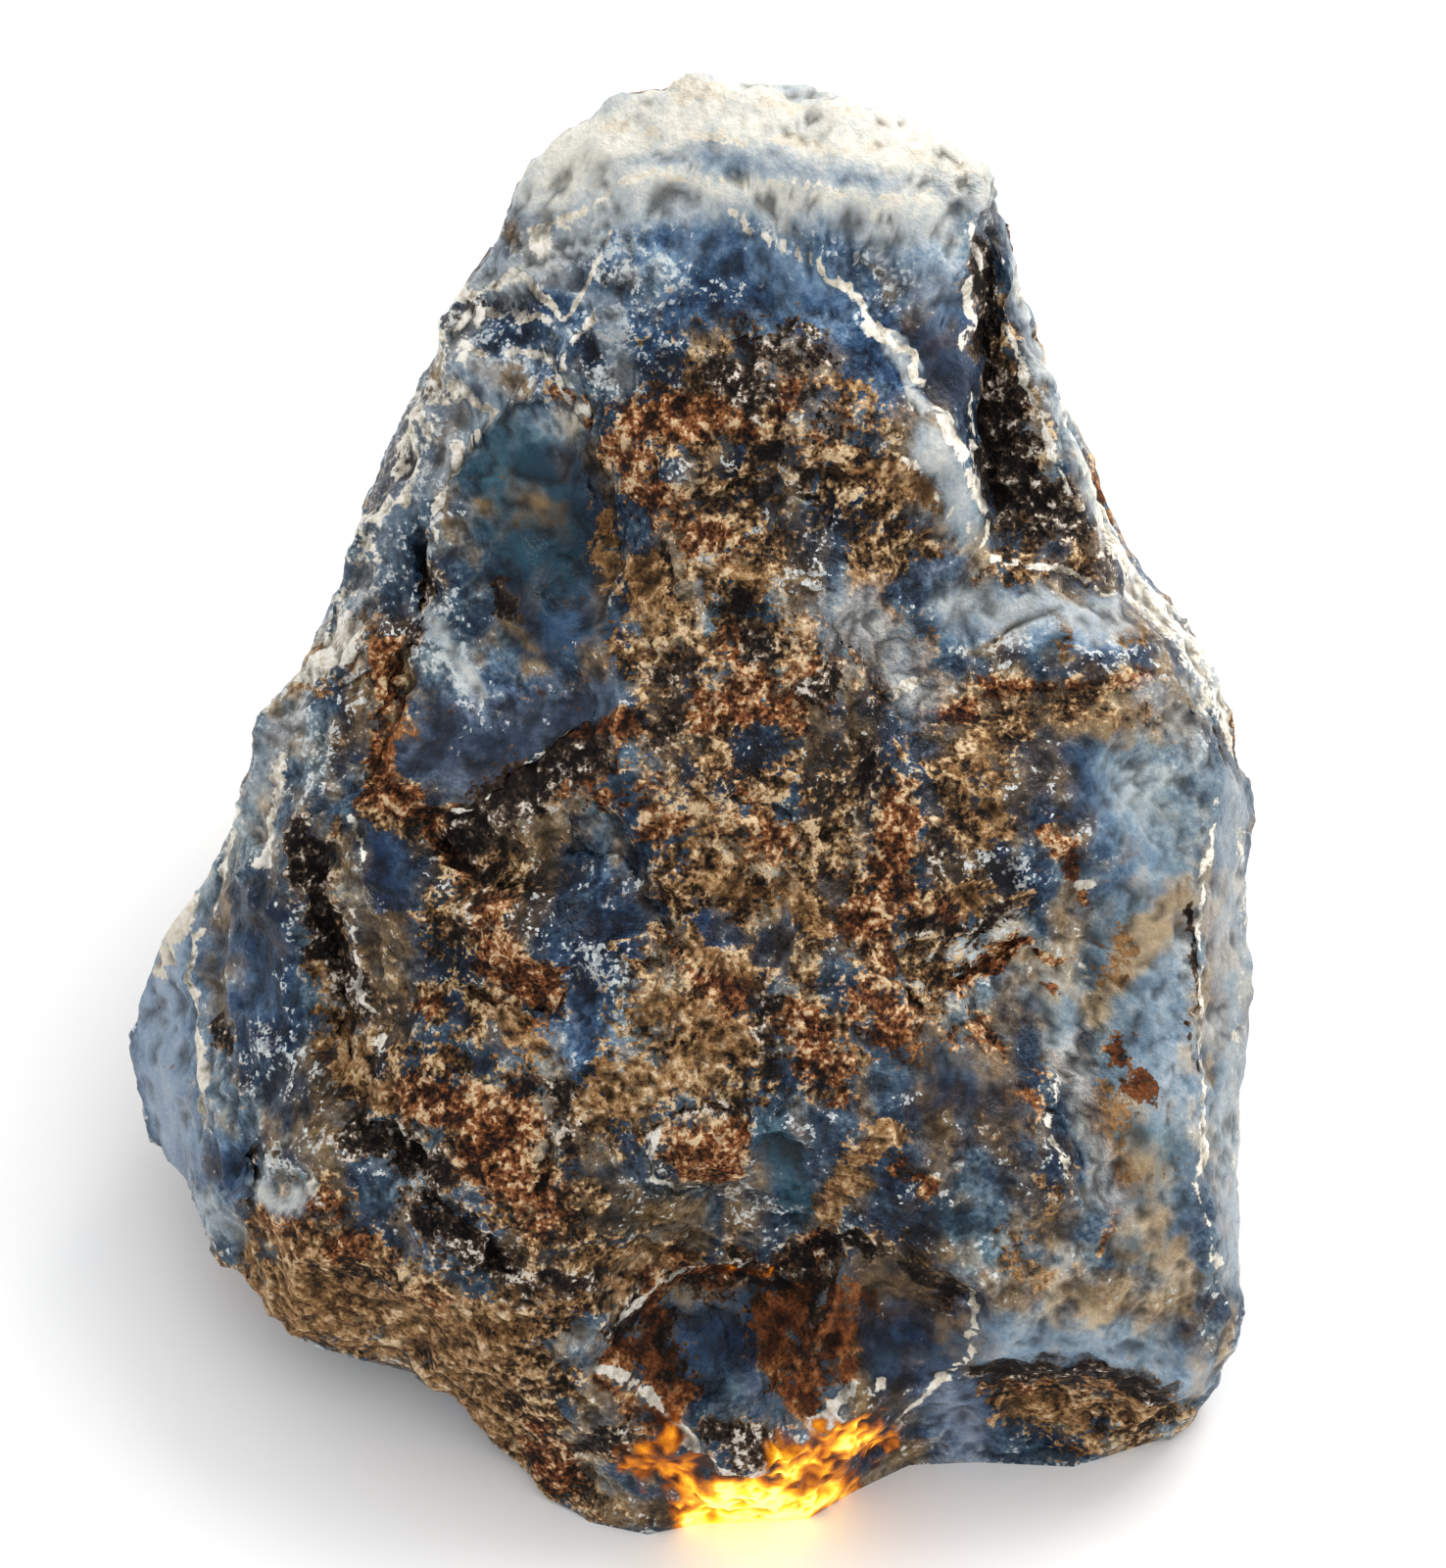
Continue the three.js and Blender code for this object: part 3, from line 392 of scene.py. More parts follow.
# Crests raised to an edge (above zero) and cracks (below): height, half width, line.
CRESTS = {
    "crest_high": (0.8, 1.1, TOP_CREST + [(11.1, 56.8)]),
    "top_edge": (0.12, 0.8, [(-9.4, 67.2), (-6.4, 67.6), (-3.9, 69.0), (1.1, 68.6), (6.1, 68.0),
                             (9.1, 68.0), (11.4, 68.8)]),
    "scoop_lip": (0.7, 1.0, [(-6.6, 8.4), (-4.9, 6.6), (-2.6, 4.6), (-1.0, 3.0), (0.8, 2.4),
                             (3.1, 3.2), (4.3, 4.8), (6.2, 6.0), (8.5, 7.0), (11.1, 8.0)]),
    "right_lip": (0.6, 1.1, [(13.1, 8.6), (17.1, 8.6), (20.6, 7.6), (24.4, 7.0)]),
    "vein": (0.3, 0.35, [(13.4, 10.8), (12.7, 8.7), (11.3, 7.2), (9.6, 5.3), (9.2, 3.0)]),
    "right_ridge": (0.7, 1.2, [(22.1, 46.0), (23.8, 43.0), (25.0, 40.0), (25.0, 36.4),
                               (24.3, 32.0), (24.2, 25.2), (23.8, 21.0), (24.5, 17.6),
                               (25.4, 14.0), (26.0, 10.0)]),
    "hollow_crack": (-0.7, 0.35, [(-9.8, 50.6), (-8.6, 49.7), (-7.3, 49.4)]),
    "hollow_lens": (0.5, 0.7, [(-10.2, 55.6), (-8.8, 56.4), (-7.8, 56.0)]),
    "shelf_crack": (-0.5, 0.3, [(13.2, 45.0), (15.2, 46.4)]),
    "ridge_crack": (-0.5, 0.4, [(24.0, 31.8), (24.1, 28.0), (24.0, 23.2)]),
    "slot": (-1.6, 0.5, [(-24.2, 19.6), (-23.8, 18.0), (-24.2, 16.6)]),
    "slate_crack": (-0.3, 0.25, [(-13.6, 42.1), (-10.8, 41.8), (-8.2, 42.2)]),
    "lobe_crack": (-0.4, 0.3, [(-20.4, 26.6), (-19.4, 24.6), (-18.6, 23.0)]),
    "scoop_spur": (0.5, 0.5, [(1.6, 9.0), (2.2, 6.4), (3.6, 3.6)]),
}

# How far from a line's end a ledge or a crest fades to nothing, in millimetres.
LEDGE_TAPER = 1.2
CREST_TAPER = 0.9
TAPER_STARTS = -0.2

# Conchoidal hollows with ripples: where the blow fell, how far the ripples reach, the
# distance between them and their height.
RIPPLES = [
    ((-9.0, 57.6), 9.0, 1.5, 0.09),
    ((-8.0, 46.6), 5.0, 1.1, 0.06),
    ((4.6, 4.6), 9.0, 1.7, 0.09),
    ((9.0, 17.0), 8.0, 1.2, 0.07),
    ((21.6, 33.0), 9.0, 1.9, 0.04),
    ((15.6, 48.4), 6.0, 1.3, 0.06),
    ((-29.0, 31.0), 10.0, 2.0, 0.05),
    ((0.6, 24.0), 6.0, 0.8, 0.09),
]
# Ripples are whole within this share of their reach.
RIPPLES_WHOLE = 0.4

# How each kind of form is pushed about: the size of the push, its reach and its seed.
LEDGE_WARP = (1.8, 0.22, 5)
CREST_WARP = (1.2, 0.15, 9)
RIPPLE_WARP = (4.0, 0.5, 13)


def ledge_shift(surface):
    """Drops the front beside each ledge, with a broken line."""
    across, up = warped(surface.points, *LEDGE_WARP)
    total = np.zeros(across.shape)
    for drop, fade, line in LEDGES.values():
        gap, side, from_end = beside(line, across, up)
        low = side * math.copysign(1.0, drop) > 0
        taper = smooth_step(from_end, TAPER_STARTS, LEDGE_TAPER)
        total -= LEDGE_GAIN * abs(drop) * taper * low * np.clip(1.0 - gap / fade, 0.0, 1.0)
    return total


def crest_shift(surface):
    """Raises each crest and sinks each crack, to nothing at its ends."""
    across, up = warped(surface.points, *CREST_WARP)
    total = np.zeros(across.shape)
    for height, half, line in CRESTS.values():
        gap, _, from_end = beside(line, across, up)
        taper = smooth_step(from_end, TAPER_STARTS, CREST_TAPER)
        total += height * taper * np.clip(1.0 - gap / half, 0.0, 1.0)
    return total


def ripple_shift(surface):
    """Rings of ripples round each place where a blow fell."""
    across, up = warped(surface.points, *RIPPLE_WARP)
    total = np.zeros(across.shape)
    for (x, y), reach, wave, height in RIPPLES:
        gap = np.hypot(across - x, up - y)
        fade = smooth_step(gap, reach, RIPPLES_WHOLE * reach)
        total += height * np.sin(gap / wave * math.tau) * fade
    return total


# ---- Flakes and scars -------------------------------------------------------------------------

# The broad flakes struck off the front: where, how it leans [across, up], radius and bite.
FLAKES = [
    ((1.0, 64.6), (0.0, -0.2), 9.0, 0.7),
    ((-11.0, 62.8), (-0.2, 0.0), 2.8, 0.5),
    ((-10.4, 60.8), (-0.2, -0.1), 2.8, 0.5),
    ((-12.6, 57.8), (-0.2, 0.0), 3.0, 0.5),
    ((-4.4, 59.8), (0.1, -0.2), 5.0, 0.5),
    ((-9.6, 52.6), (0.0, 0.1), 8.0, 0.9),
    ((-8.2, 47.2), (0.1, 0.2), 4.0, 0.7),
    ((-11.8, 40.4), (-0.1, 0.0), 14.0, 0.6),
    ((12.2, 46.2), (0.1, 0.2), 4.0, 0.6),
    ((18.4, 46.4), (0.2, 0.2), 6.5, 0.7),
    ((7.6, 45.0), (0.0, 0.0), 7.0, 0.5),
    ((-17.4, 41.0), (0.2, 0.0), 4.0, 0.6),
    ((-17.1, 33.4), (0.0, 0.0), 2.6, 0.6),
    ((20.6, 37.0), (0.1, 0.0), 16.0, 0.6),
    ((21.4, 27.0), (0.2, 0.0), 16.0, 0.6),
    ((17.0, 26.0), (-0.2, 0.0), 7.0, 0.5),
    ((11.4, 21.4), (-0.2, 0.2), 7.0, 0.8),
    ((12.8, 17.4), (0.0, -0.2), 5.5, 0.6),
    ((10.4, 14.6), (-0.1, 0.1), 4.0, 0.5),
    ((0.4, 9.4), (-0.1, -0.1), 8.0, 1.9),
    ((8.8, 10.0), (0.1, 0.1), 6.0, 1.3),
    ((2.4, 12.6), (0.0, 0.2), 6.0, 0.9),
    ((3.4, 19.0), (0.0, 0.0), 4.0, 0.5),
    ((-24.6, 28.6), (-0.1, 0.0), 9.0, 0.7),
    ((-23.4, 22.4), (-0.1, -0.1), 6.0, 0.6),
    ((-29.0, 27.0), (-0.2, 0.0), 22.0, 0.5),
    ((-25.6, 18.4), (-0.2, 0.0), 2.6, 0.4),
    ((-25.4, 15.0), (-0.3, -0.1), 4.0, 0.6),
    ((-22.6, 17.2), (0.1, 0.1), 3.0, 0.5),
    ((-16.0, 10.6), (0.0, -0.2), 18.0, 0.5),
    ((17.4, 6.0), (0.0, -0.4), 10.0, 0.6),
    ((12.4, 4.8), (-0.2, -0.3), 7.0, 0.5),
    ((-0.6, 54.6), (0.0, 0.0), 4.0, 0.5),
    ((3.6, 50.0), (0.1, 0.1), 3.6, 0.5),
    ((0.4, 46.4), (-0.1, 0.0), 3.2, 0.5),
    ((5.4, 39.6), (0.1, 0.1), 4.0, 0.6),
    ((-3.4, 41.4), (0.0, 0.1), 3.0, 0.5),
    ((-5.6, 31.4), (0.0, 0.0), 3.0, 0.7),
    ((-7.2, 25.8), (0.0, 0.1), 4.4, 0.7),
    ((-0.4, 30.8), (0.1, 0.0), 2.4, 0.5),
    ((6.2, 30.4), (0.0, 0.0), 3.4, 0.5),
    ((8.6, 33.2), (0.0, 0.1), 4.0, 0.5),
    ((8.8, 24.8), (0.1, 0.1), 3.4, 0.5),
    ((14.4, 33.6), (0.0, -0.1), 3.4, 0.5),
    ((11.0, 37.0), (0.1, 0.0), 4.0, 0.5),
    ((-13.8, 29.2), (-0.1, 0.0), 2.8, 0.4),
    ((10.8, 60.6), (0.3, 0.0), 9.0, 0.5),
    ((-19.6, 46.0), (-0.3, 0.0), 5.0, 0.5),
    ((-16.4, 54.0), (-0.3, 0.0), 5.0, 0.5),
    ((-22.0, 38.6), (-0.2, 0.1), 6.0, 0.5),
]
# How many points near it tell which way a flake's place faces.
FLAKE_POINTS = 60
# No point is pressed back further than this many bites.
OVERCUT = 1.5

# Small scars on the faces and chips along the edges: how many, their radii and their bites.
FACE_SCARS = {"count": 700, "radii": (2.0, 12.0), "bites": (0.06, 0.4)}
EDGE_CHIPS = {"count": 2600, "radii": (0.7, 4.0), "bites": (0.03, 0.30)}
SCAR_SEED = 11
SCAR_LEAN = 0.6
# Scars are centred no lower than this, in millimetres.
SCAR_FREE_FOOT = 1.5
# Scars favour the back and chips the bare stone: the nearer to one, the more they do.
SCARS_BEHIND = 1.3
CHIPS_OFF_CRUST = 1.1
# How sharp a bend counts for chips at least and at most.
SHARP_LEAST = 0.002
SHARP_MOST = 0.03
RIM_WARP = 0.3
RIM_WARP_SIZE = 1.6


def rim_warp(points):
    """How far each point is pushed when a flake is cut, so that no flake has a round rim."""
    return RIM_WARP * np.stack(
        [cloud(points, RIM_WARP_SIZE, SCAR_SEED + axis, 3) for axis in range(3)], axis=1)


def carve_scar(surface, rims, centre, way, radius, deepest):
    """Presses the surface back where it stands inside a sphere, leaving a shallow bowl."""
    gap = surface.points + rims - centre
    deep = radius - np.sqrt(np.einsum("ij,ij->i", gap, gap))
    inside = (deep > 0.0) & ~surface.on_base
    surface.points[inside] -= way * np.minimum(deep[inside], deepest)[:, None]


def strike_flakes(surface, rims):
    """Strikes each broad flake off the visible face nearest to where it is named."""
    normals = surface.normals()
    for (across, up), lean, radius, bite in FLAKES:
        gap = np.hypot(surface.points[:, 0] - across, surface.points[:, 1] - up)
        gap = np.where(surface.front > 0.5, gap, np.inf)
        nearest = np.argsort(gap)[:FLAKE_POINTS]
        way = normals[nearest].mean(axis=0) + np.array([*lean, 0.0])
        way /= np.linalg.norm(way)
        at = surface.points[nearest].mean(axis=0)
        carve_scar(surface, rims, at + way * (radius - bite), way, radius, OVERCUT * bite)


def carve_scars(surface, rims, weight, seed, count, radii, bites):
    """Flake scars, more of them where `weight` is high."""
    rng = np.random.default_rng(seed)
    normals = surface.normals()
    chance = np.where(surface.height < SCAR_FREE_FOOT, 0.0, weight)
    picked = rng.choice(len(chance), count, p=chance / chance.sum())
    for index in picked:
        size, depth, turn = rng.random(), rng.random(), rng.normal(0.0, 1.0, 3)
        radius = radii[0] + (radii[1] - radii[0]) * size ** 2
        bite = bites[0] + (bites[1] - bites[0]) * depth * size
        lean = SCAR_LEAN * math.sqrt(2.0 * bite / radius)
        way = normals[index] + lean * turn / np.linalg.norm(turn)
        way /= np.linalg.norm(way)
        centre = surface.points[index] + way * (radius - bite)
        carve_scar(surface, rims, centre, way, radius, OVERCUT * bite)


# ---- Where the finishes lie -------------------------------------------------------------------
# Each stroke is its half width, its strength and its line of [across, up] on the front.

FINISHES = {
    "pale": [
        (2.8, 1.0, [(-9.0, 69.0), (-5.5, 71.0), (-1.0, 72.5), (4.0, 71.5), (9.0, 70.6),
                    (12.5, 69.4)]),
        (1.0, 0.72, [(10.4, 55.6), (11.6, 53.8), (12.4, 51.4)]),
        (0.5, 0.8, [(8.2, 60.6), (9.6, 59.0), (10.4, 57.2)]),
        (1.0, 0.85, [(15.2, 67.4), (17.0, 61.6), (18.8, 56.0), (20.2, 51.4)]),
        (1.5, 0.5, RIGHT_STRIP),
        (1.8, 0.78, [(-7.4, 67.4), (-3.0, 68.2), (2.0, 67.8), (7.0, 67.0), (10.6, 66.6)]),
        (1.0, 0.4, LOWER_LIP),
        (2.0, 0.3, BULGE_FACE),
        # Painted light: the riser under the top's overhang is painted paler than its own pale
        # blue, against the shade there.
        (0.9, 0.97, [(-4.0, 68.7), (1.0, 68.3), (6.0, 67.7), (10.6, 67.2)]),
        (1.8, 0.62, [(-12.4, 63.8), (-9.6, 64.8), (-7.6, 66.4)]),
        (1.2, 0.5, [(-13.6, 60.6), (-12.2, 57.2), (-14.4, 53.8)]),
        (1.0, 0.5, [(-8.4, 63.8), (-6.0, 62.8), (-5.0, 58.4)]),
        (1.0, 0.45, [(8.0, 65.4), (10.8, 63.0)]),
        (0.8, 0.5, [(-22.4, 41.6), (-24.0, 37.2)]),
        (1.6, 0.4, [(-15.0, 57.0), (-17.0, 52.0), (-19.0, 47.0)]),
        (0.25, 0.4, HOLLOW_GLINT),
        (1.3, 0.66, [(12.0, 47.0), (16.0, 46.8), (20.0, 46.8)]),
        (1.0, 0.7, [(21.6, 49.6), (23.6, 46.4), (25.4, 42.6)]),
        (1.8, 0.6, [(6.0, 46.6), (9.0, 45.6), (10.0, 42.6)]),
        (1.1, 0.6, [(17.6, 24.6), (18.4, 20.6), (19.6, 17.0)]),
        (0.8, 0.3, [(14.6, 9.9), (17.0, 12.4), (18.0, 15.6)]),
        (1.2, 0.6, BULGE_SHOULDER),
        (0.5, 0.8, [(-15.0, 46.4), (-13.6, 44.6), (-13.0, 42.8)]),
        (0.7, 0.8, [(-23.6, 17.0), (-22.0, 16.4)]),
        (0.8, 0.6, [(-26.4, 16.6), (-25.6, 14.6)]),
        (1.2, 0.5, [(21.6, 42.6), (23.8, 41.0), (24.6, 38.4)]),
    ],
    "cream": [
        (0.8, 0.55, [(-4.4, 73.6), (0.6, 72.9), (6.0, 72.2), (10.0, 71.2)]),
        (0.5, 0.6, [(-6.6, 71.4), (-2.0, 71.0), (3.0, 70.6), (8.0, 70.0), (12.6, 69.2)]),
        (0.2, 0.8, [(-9.6, 66.4), (-7.2, 67.4), (-4.4, 68.9), (0.6, 68.5), (6.0, 67.9),
                    (9.4, 67.8), (12.6, 68.6)]),
        (0.6, 0.5, [(14.4, 68.4), (16.2, 64.0), (17.6, 59.5), (19.2, 55.0), (20.4, 51.0)]),
        (0.2, 0.8, [(15.2, 61.6), (16.6, 57.4), (18.0, 53.0)]),
        (0.18, 0.8, [(-8.0, 62.0), (-6.8, 64.6), (-5.4, 66.4)]),
        (0.18, 0.8, [(-9.0, 57.6), (-7.0, 61.0), (-6.6, 63.0)]),
        (0.25, 0.8, [(-14.6, 49.0), (-14.8, 52.0), (-13.6, 55.0)]),
        (0.2, 0.9, [(12.4, 66.4), (13.0, 64.4)]),
        (0.14, 0.9, [(12.3, 63.6), (12.4, 58.0), (12.8, 54.0), (13.4, 50.4)]),
        (0.14, 0.8, [(9.2, 57.2), (10.4, 57.4), (11.6, 55.8)]),
        (0.14, 0.8, [(9.4, 54.6), (11.0, 52.4), (13.0, 50.0)]),
        (0.14, 0.7, [(-14.6, 36.9), (-13.4, 36.7), (-11.2, 38.6), (-9.2, 39.8), (-7.0, 41.4)]),
        (0.14, 0.7, [(18.3, 31.2), (18.5, 27.0), (17.6, 23.4), (16.6, 21.2), (17.6, 18.4)]),
        (0.7, 0.6, [(-9.6, 66.0), (-7.6, 67.0)]),
        (0.3, 1.0, LUMP_TOP),
        (0.25, 0.9, [(-14.8, 60.8), (-12.1, 61.9), (-9.2, 61.4)]),
        (0.25, 0.9, LUMP_SEAM),
        (0.2, 0.9, [(-14.2, 58.1), (-12.1, 56.8), (-12.9, 55.2), (-14.4, 53.1)]),
        (1.6, 0.45, [(-14.0, 61.0), (-16.2, 55.6), (-18.2, 51.2), (-20.6, 45.6)]),
        (0.2, 1.0, TOP_CREST),
        (0.18, 0.9, [(11.7, 55.8), (12.6, 53.1), (13.2, 51.2)]),
        (0.16, 0.8, [(-19.2, 35.8), (-18.2, 34.0), (-18.6, 31.0), (-18.4, 27.6), (-17.2, 24.6)]),
        (0.17, 0.9, [(-24.9, 36.5), (-25.9, 32.6), (-26.9, 30.0), (-27.4, 28.0), (-27.0, 23.7),
                     (-26.7, 20.4)]),
        (1.2, 0.55, BULGE_SHOULDER),
        (0.13, 0.7, [(25.2, 37.4), (24.4, 32.0), (24.4, 23.0), (24.2, 18.0), (25.6, 12.0)]),
        (1.1, 0.65, [(20.6, 50.6), (23.1, 47.0), (25.1, 43.5), (26.4, 40.6)]),
        (1.0, 0.25, [(26.6, 36.0), (26.4, 28.0), (26.4, 18.0), (27.0, 11.0)]),
        (0.18, 0.8, [(13.6, 49.6), (16.2, 49.0), (18.4, 49.2), (20.6, 48.0)]),
        (0.8, 0.8, [(-21.4, 43.8), (-19.2, 45.8)]),
        (0.19, 0.9, [(9.2, 42.8), (11.0, 43.6)]),
        (0.18, 0.9, [(-3.9, 19.6), (-3.0, 21.2), (-3.6, 18.6), (-1.8, 17.6)]),
        (0.18, 0.7, [(-6.8, 9.2), (-4.9, 11.6), (-1.1, 13.5), (3.4, 15.0)]),
        (0.18, 0.9, [(-6.8, 8.4), (-4.9, 6.6), (-2.6, 4.6), (-1.0, 3.0), (0.8, 2.5), (3.1, 3.2),
                     (4.3, 4.8), (6.2, 6.0), (8.5, 7.0)]),
        (0.18, 1.0, [(12.9, 11.6), (13.4, 10.6), (12.7, 8.7), (11.3, 7.2), (9.6, 5.3),
                     (9.2, 3.0)]),
        (0.18, 0.9, [(18.5, 29.8), (18.4, 27.0)]),
        (0.22, 0.8, [(18.9, 33.0), (18.2, 32.6)]),
        (0.28, 0.7, [(-21.4, 17.4), (-20.8, 16.4)]),
        (0.28, 0.8, [(-22.9, 39.6), (-23.4, 36.6), (-23.8, 34.0)]),
    ],
    "tan": [
        (1.8, 0.75, [(-20.4, 28.4), (-19.6, 25.4), (-18.6, 22.6)]),
        (1.1, 0.6, [(-20.8, 33.6), (-20.0, 30.4)]),
        (1.3, 0.8, [(-21.0, 44.0), (-18.8, 46.0)]),
        (0.8, 0.8, [(-0.6, 33.4), (0.8, 32.4)]),
        (1.0, 0.9, [(2.8, 32.8), (4.8, 31.2)]),
        (0.7, 0.9, [(-1.4, 29.6), (1.6, 28.2)]),
        (1.0, 0.9, [(-4.0, 27.2), (-1.0, 26.4), (1.6, 25.2)]),
        (2.0, 0.6, [(-3.0, 37.0), (1.0, 35.6)]),
        (1.4, 0.85, [(-6.2, 21.4), (-3.4, 23.4), (0.0, 24.4)]),
        (0.9, 0.9, [(-4.0, 49.4), (-3.6, 46.6)]),
        (2.0, 0.8, [(6.6, 46.6), (9.2, 45.2), (9.8, 43.4)]),
        (0.9, 0.8, [(8.4, 54.2), (10.4, 52.6)]),
        (1.1, 0.6, [(6.2, 58.2), (7.6, 56.4)]),
        (2.4, 0.95, [(-22.2, 11.4), (-17.0, 10.2), (-12.0, 9.4)]),
        (1.9, 0.7, [(-23.0, 14.8), (-19.4, 14.4)]),
        (1.2, 0.7, [(15.0, 5.0), (17.6, 4.4)]),
        (1.0, 0.7, [(19.6, 6.4), (21.8, 5.6)]),
        (1.8, 0.75, LEFT_FOOT),
        (1.3, 0.75, [(-10.4, 12.4), (-6.4, 12.8), (-3.0, 13.8)]),
        (1.0, 0.9, [(8.4, 20.6), (6.8, 18.2), (5.0, 16.6)]),
        (1.3, 0.75, [(17.8, 24.0), (19.4, 21.2), (19.6, 18.4)]),
        (1.0, 0.5, [(20.4, 31.4), (20.2, 27.4)]),
        (0.7, 0.8, [(17.0, 46.6), (17.6, 44.8)]),
        (0.5, 0.8, [(19.6, 47.0), (21.6, 45.2)]),
        (1.4, 0.6, [(13.0, 39.6), (14.2, 36.0)]),
        (0.8, 0.8, [(12.0, 32.8), (13.4, 31.8), (15.6, 32.4)]),
        (1.3, 0.6, [(1.0, 49.0), (3.2, 46.0)]),
        (1.0, 0.7, [(-6.6, 51.6), (-5.6, 48.6)]),
        (1.0, 0.6, [(-10.0, 24.6), (-10.6, 26.0)]),
        (1.2, 0.6, [(14.6, 14.4), (16.6, 13.0)]),
        (1.0, 0.6, [(16.8, 17.4), (16.2, 15.4)]),
    ],
    "rust": [
        (1.1, 1.0, [(-5.0, 56.2), (-1.6, 56.6), (1.2, 56.4)]),
        (1.5, 0.7, [(-5.0, 54.8), (-3.4, 52.4)]),
        (0.7, 0.9, [(-3.4, 53.0), (-2.4, 52.4)]),
        (0.9, 0.9, [(-1.6, 50.6), (0.2, 50.2)]),
        (1.1, 1.0, [(-1.2, 41.6), (1.4, 41.8), (3.0, 41.4)]),
        (1.3, 0.8, [(0.6, 45.4), (1.0, 43.2)]),
        (0.5, 1.0, [(-7.4, 40.2), (-5.0, 41.0)]),
        (1.6, 0.75, [(-7.6, 38.0), (-4.0, 37.4), (-3.4, 36.0)]),
        (1.1, 0.9, [(-17.4, 44.0), (-17.0, 41.0), (-17.8, 38.6)]),
        (0.9, 1.0, [(-17.4, 37.4), (-14.6, 36.0), (-13.4, 34.0)]),
        (1.4, 1.0, [(-11.8, 31.2), (-10.8, 28.8), (-9.4, 27.4)]),
        (0.6, 1.0, [(-15.4, 26.8)]),
        (1.9, 1.0, [(-15.6, 21.8), (-12.6, 21.4), (-11.0, 20.4)]),
        (1.6, 0.85, [(-12.2, 19.2), (-9.6, 17.2)]),
        (1.5, 0.95, [(-2.2, 19.8), (0.6, 20.2)]),
        (1.5, 1.0, [(4.6, 25.6), (6.0, 23.2)]),
        (1.5, 1.0, [(8.6, 34.8), (8.0, 31.6)]),
        (1.0, 1.0, [(9.2, 38.0), (9.2, 35.8)]),
        (1.1, 0.9, [(14.6, 29.6), (12.2, 27.4)]),
        (1.1, 0.7, [(9.6, 32.0), (12.0, 31.2)]),
        (0.4, 0.7, [(12.8, 43.0), (15.8, 42.8), (18.6, 43.0), (21.8, 43.6)]),
        (0.45, 1.0, [(16.2, 35.7), (17.8, 34.0), (19.0, 31.8)]),
        (0.4, 1.0, [(16.4, 28.6), (17.4, 28.6)]),
        (0.2, 0.9, [(16.6, 27.1), (17.3, 27.1)]),
        (0.6, 0.9, [(18.9, 18.4), (19.6, 16.0), (19.8, 14.0)]),
        (1.0, 0.9, [(-2.0, 12.2), (1.6, 12.8)]),
        (1.3, 0.9, [(4.0, 14.0), (3.6, 9.8), (4.4, 6.0)]),
        (0.9, 0.9, [(-4.2, 11.0), (-4.4, 8.4), (-3.0, 6.0)]),
        (1.1, 0.9, [(-9.6, 4.2), (-8.2, 2.4)]),
        (0.35, 1.0, [(23.4, 13.2)]),
        (0.4, 1.0, [(-9.4, 58.3), (-7.9, 57.9), (-6.9, 56.8)]),
        (1.2, 0.7, [(7.8, 27.2), (9.4, 26.0)]),
        (0.5, 0.9, [(11.0, 41.8), (12.8, 42.2)]),
        (0.7, 0.7, [(10.2, 17.0), (9.0, 18.6)]),
        (1.2, 0.6, [(16.0, 6.6), (18.6, 6.4)]),
        (1.4, 0.8, [(-4.6, 11.6), (-0.6, 13.2), (1.6, 13.0)]),
        (1.6, 0.75, [(3.0, 11.4), (4.6, 8.0), (5.0, 5.8)]),
        (1.2, 0.7, [(6.4, 12.0), (8.2, 10.6)]),
        (1.6, 0.85, [(-5.4, 9.0), (-3.6, 5.8)]),
        (1.5, 0.8, [(6.8, 11.8), (5.8, 8.2)]),
        (1.2, 0.7, [(1.6, 10.8), (2.6, 7.4)]),
        (1.4, 0.6, [(13.6, 24.8), (15.4, 22.6)]),
        (1.8, 0.7, [(-22.4, 15.4), (-19.6, 14.6)]),
        (1.2, 0.6, [(-17.0, 12.4), (-14.4, 11.6)]),
        (1.6, 0.6, [(4.0, 43.0), (5.4, 45.6)]),
        (1.8, 0.6, [(0.0, 36.6), (2.6, 34.6)]),
        (1.5, 0.6, [(-2.6, 29.0), (0.4, 27.4)]),
        (1.5, 0.6, [(8.6, 28.6), (9.8, 26.4)]),
        (1.4, 0.6, [(3.2, 57.6), (6.6, 55.6)]),
        (0.9, 0.7, [(20.4, 24.2), (21.4, 22.4)]),
    ],
    # Dark brown crust and oxide, and painted shadow where strokes lie under overhangs: the slate
    # facet's edge, the cavity's ledges, the scoop's rim and the right lip.
    "umber_and_shadow": [
        (0.7, 1.0, [(13.0, 64.6), (13.3, 62.0)]),
        (1.1, 1.0, [(13.8, 61.0), (14.2, 56.0), (14.6, 51.4)]),
        (1.3, 1.0, [(14.8, 58.0), (16.0, 54.0), (16.6, 51.6)]),
        (0.9, 0.9, [(17.4, 53.0), (18.4, 51.2)]),
        (0.8, 0.7, [(11.4, 69.0), (13.6, 68.2)]),
        (1.2, 0.95, [(-0.4, 58.8), (1.6, 58.2)]),
        (1.6, 0.75, [(2.4, 60.4), (5.0, 60.2)]),
        (0.8, 1.0, [(-11.8, 47.6), (-11.0, 46.4)]),
        (0.5, 1.0, [(-15.2, 50.0), (-15.2, 44.9)]),
        (1.4, 1.0, [(-21.6, 35.0), (-20.6, 32.0), (-20.0, 28.8), (-19.4, 27.4)]),
        # Painted shadow under the slate facet's overhanging edge.
        (1.2, 1.0, [(-12.0, 37.0), (-9.8, 38.2), (-7.8, 39.2)]),
        (0.6, 0.9, [(-14.0, 35.4), (-12.6, 35.0)]),
        # Painted shadow in the cavity under its ledges.
        (1.1, 1.0, [(-19.0, 20.2), (-16.6, 19.6), (-14.8, 18.4)]),
        (1.3, 0.95, [(-15.4, 16.4), (-13.0, 14.8), (-11.2, 13.2)]),
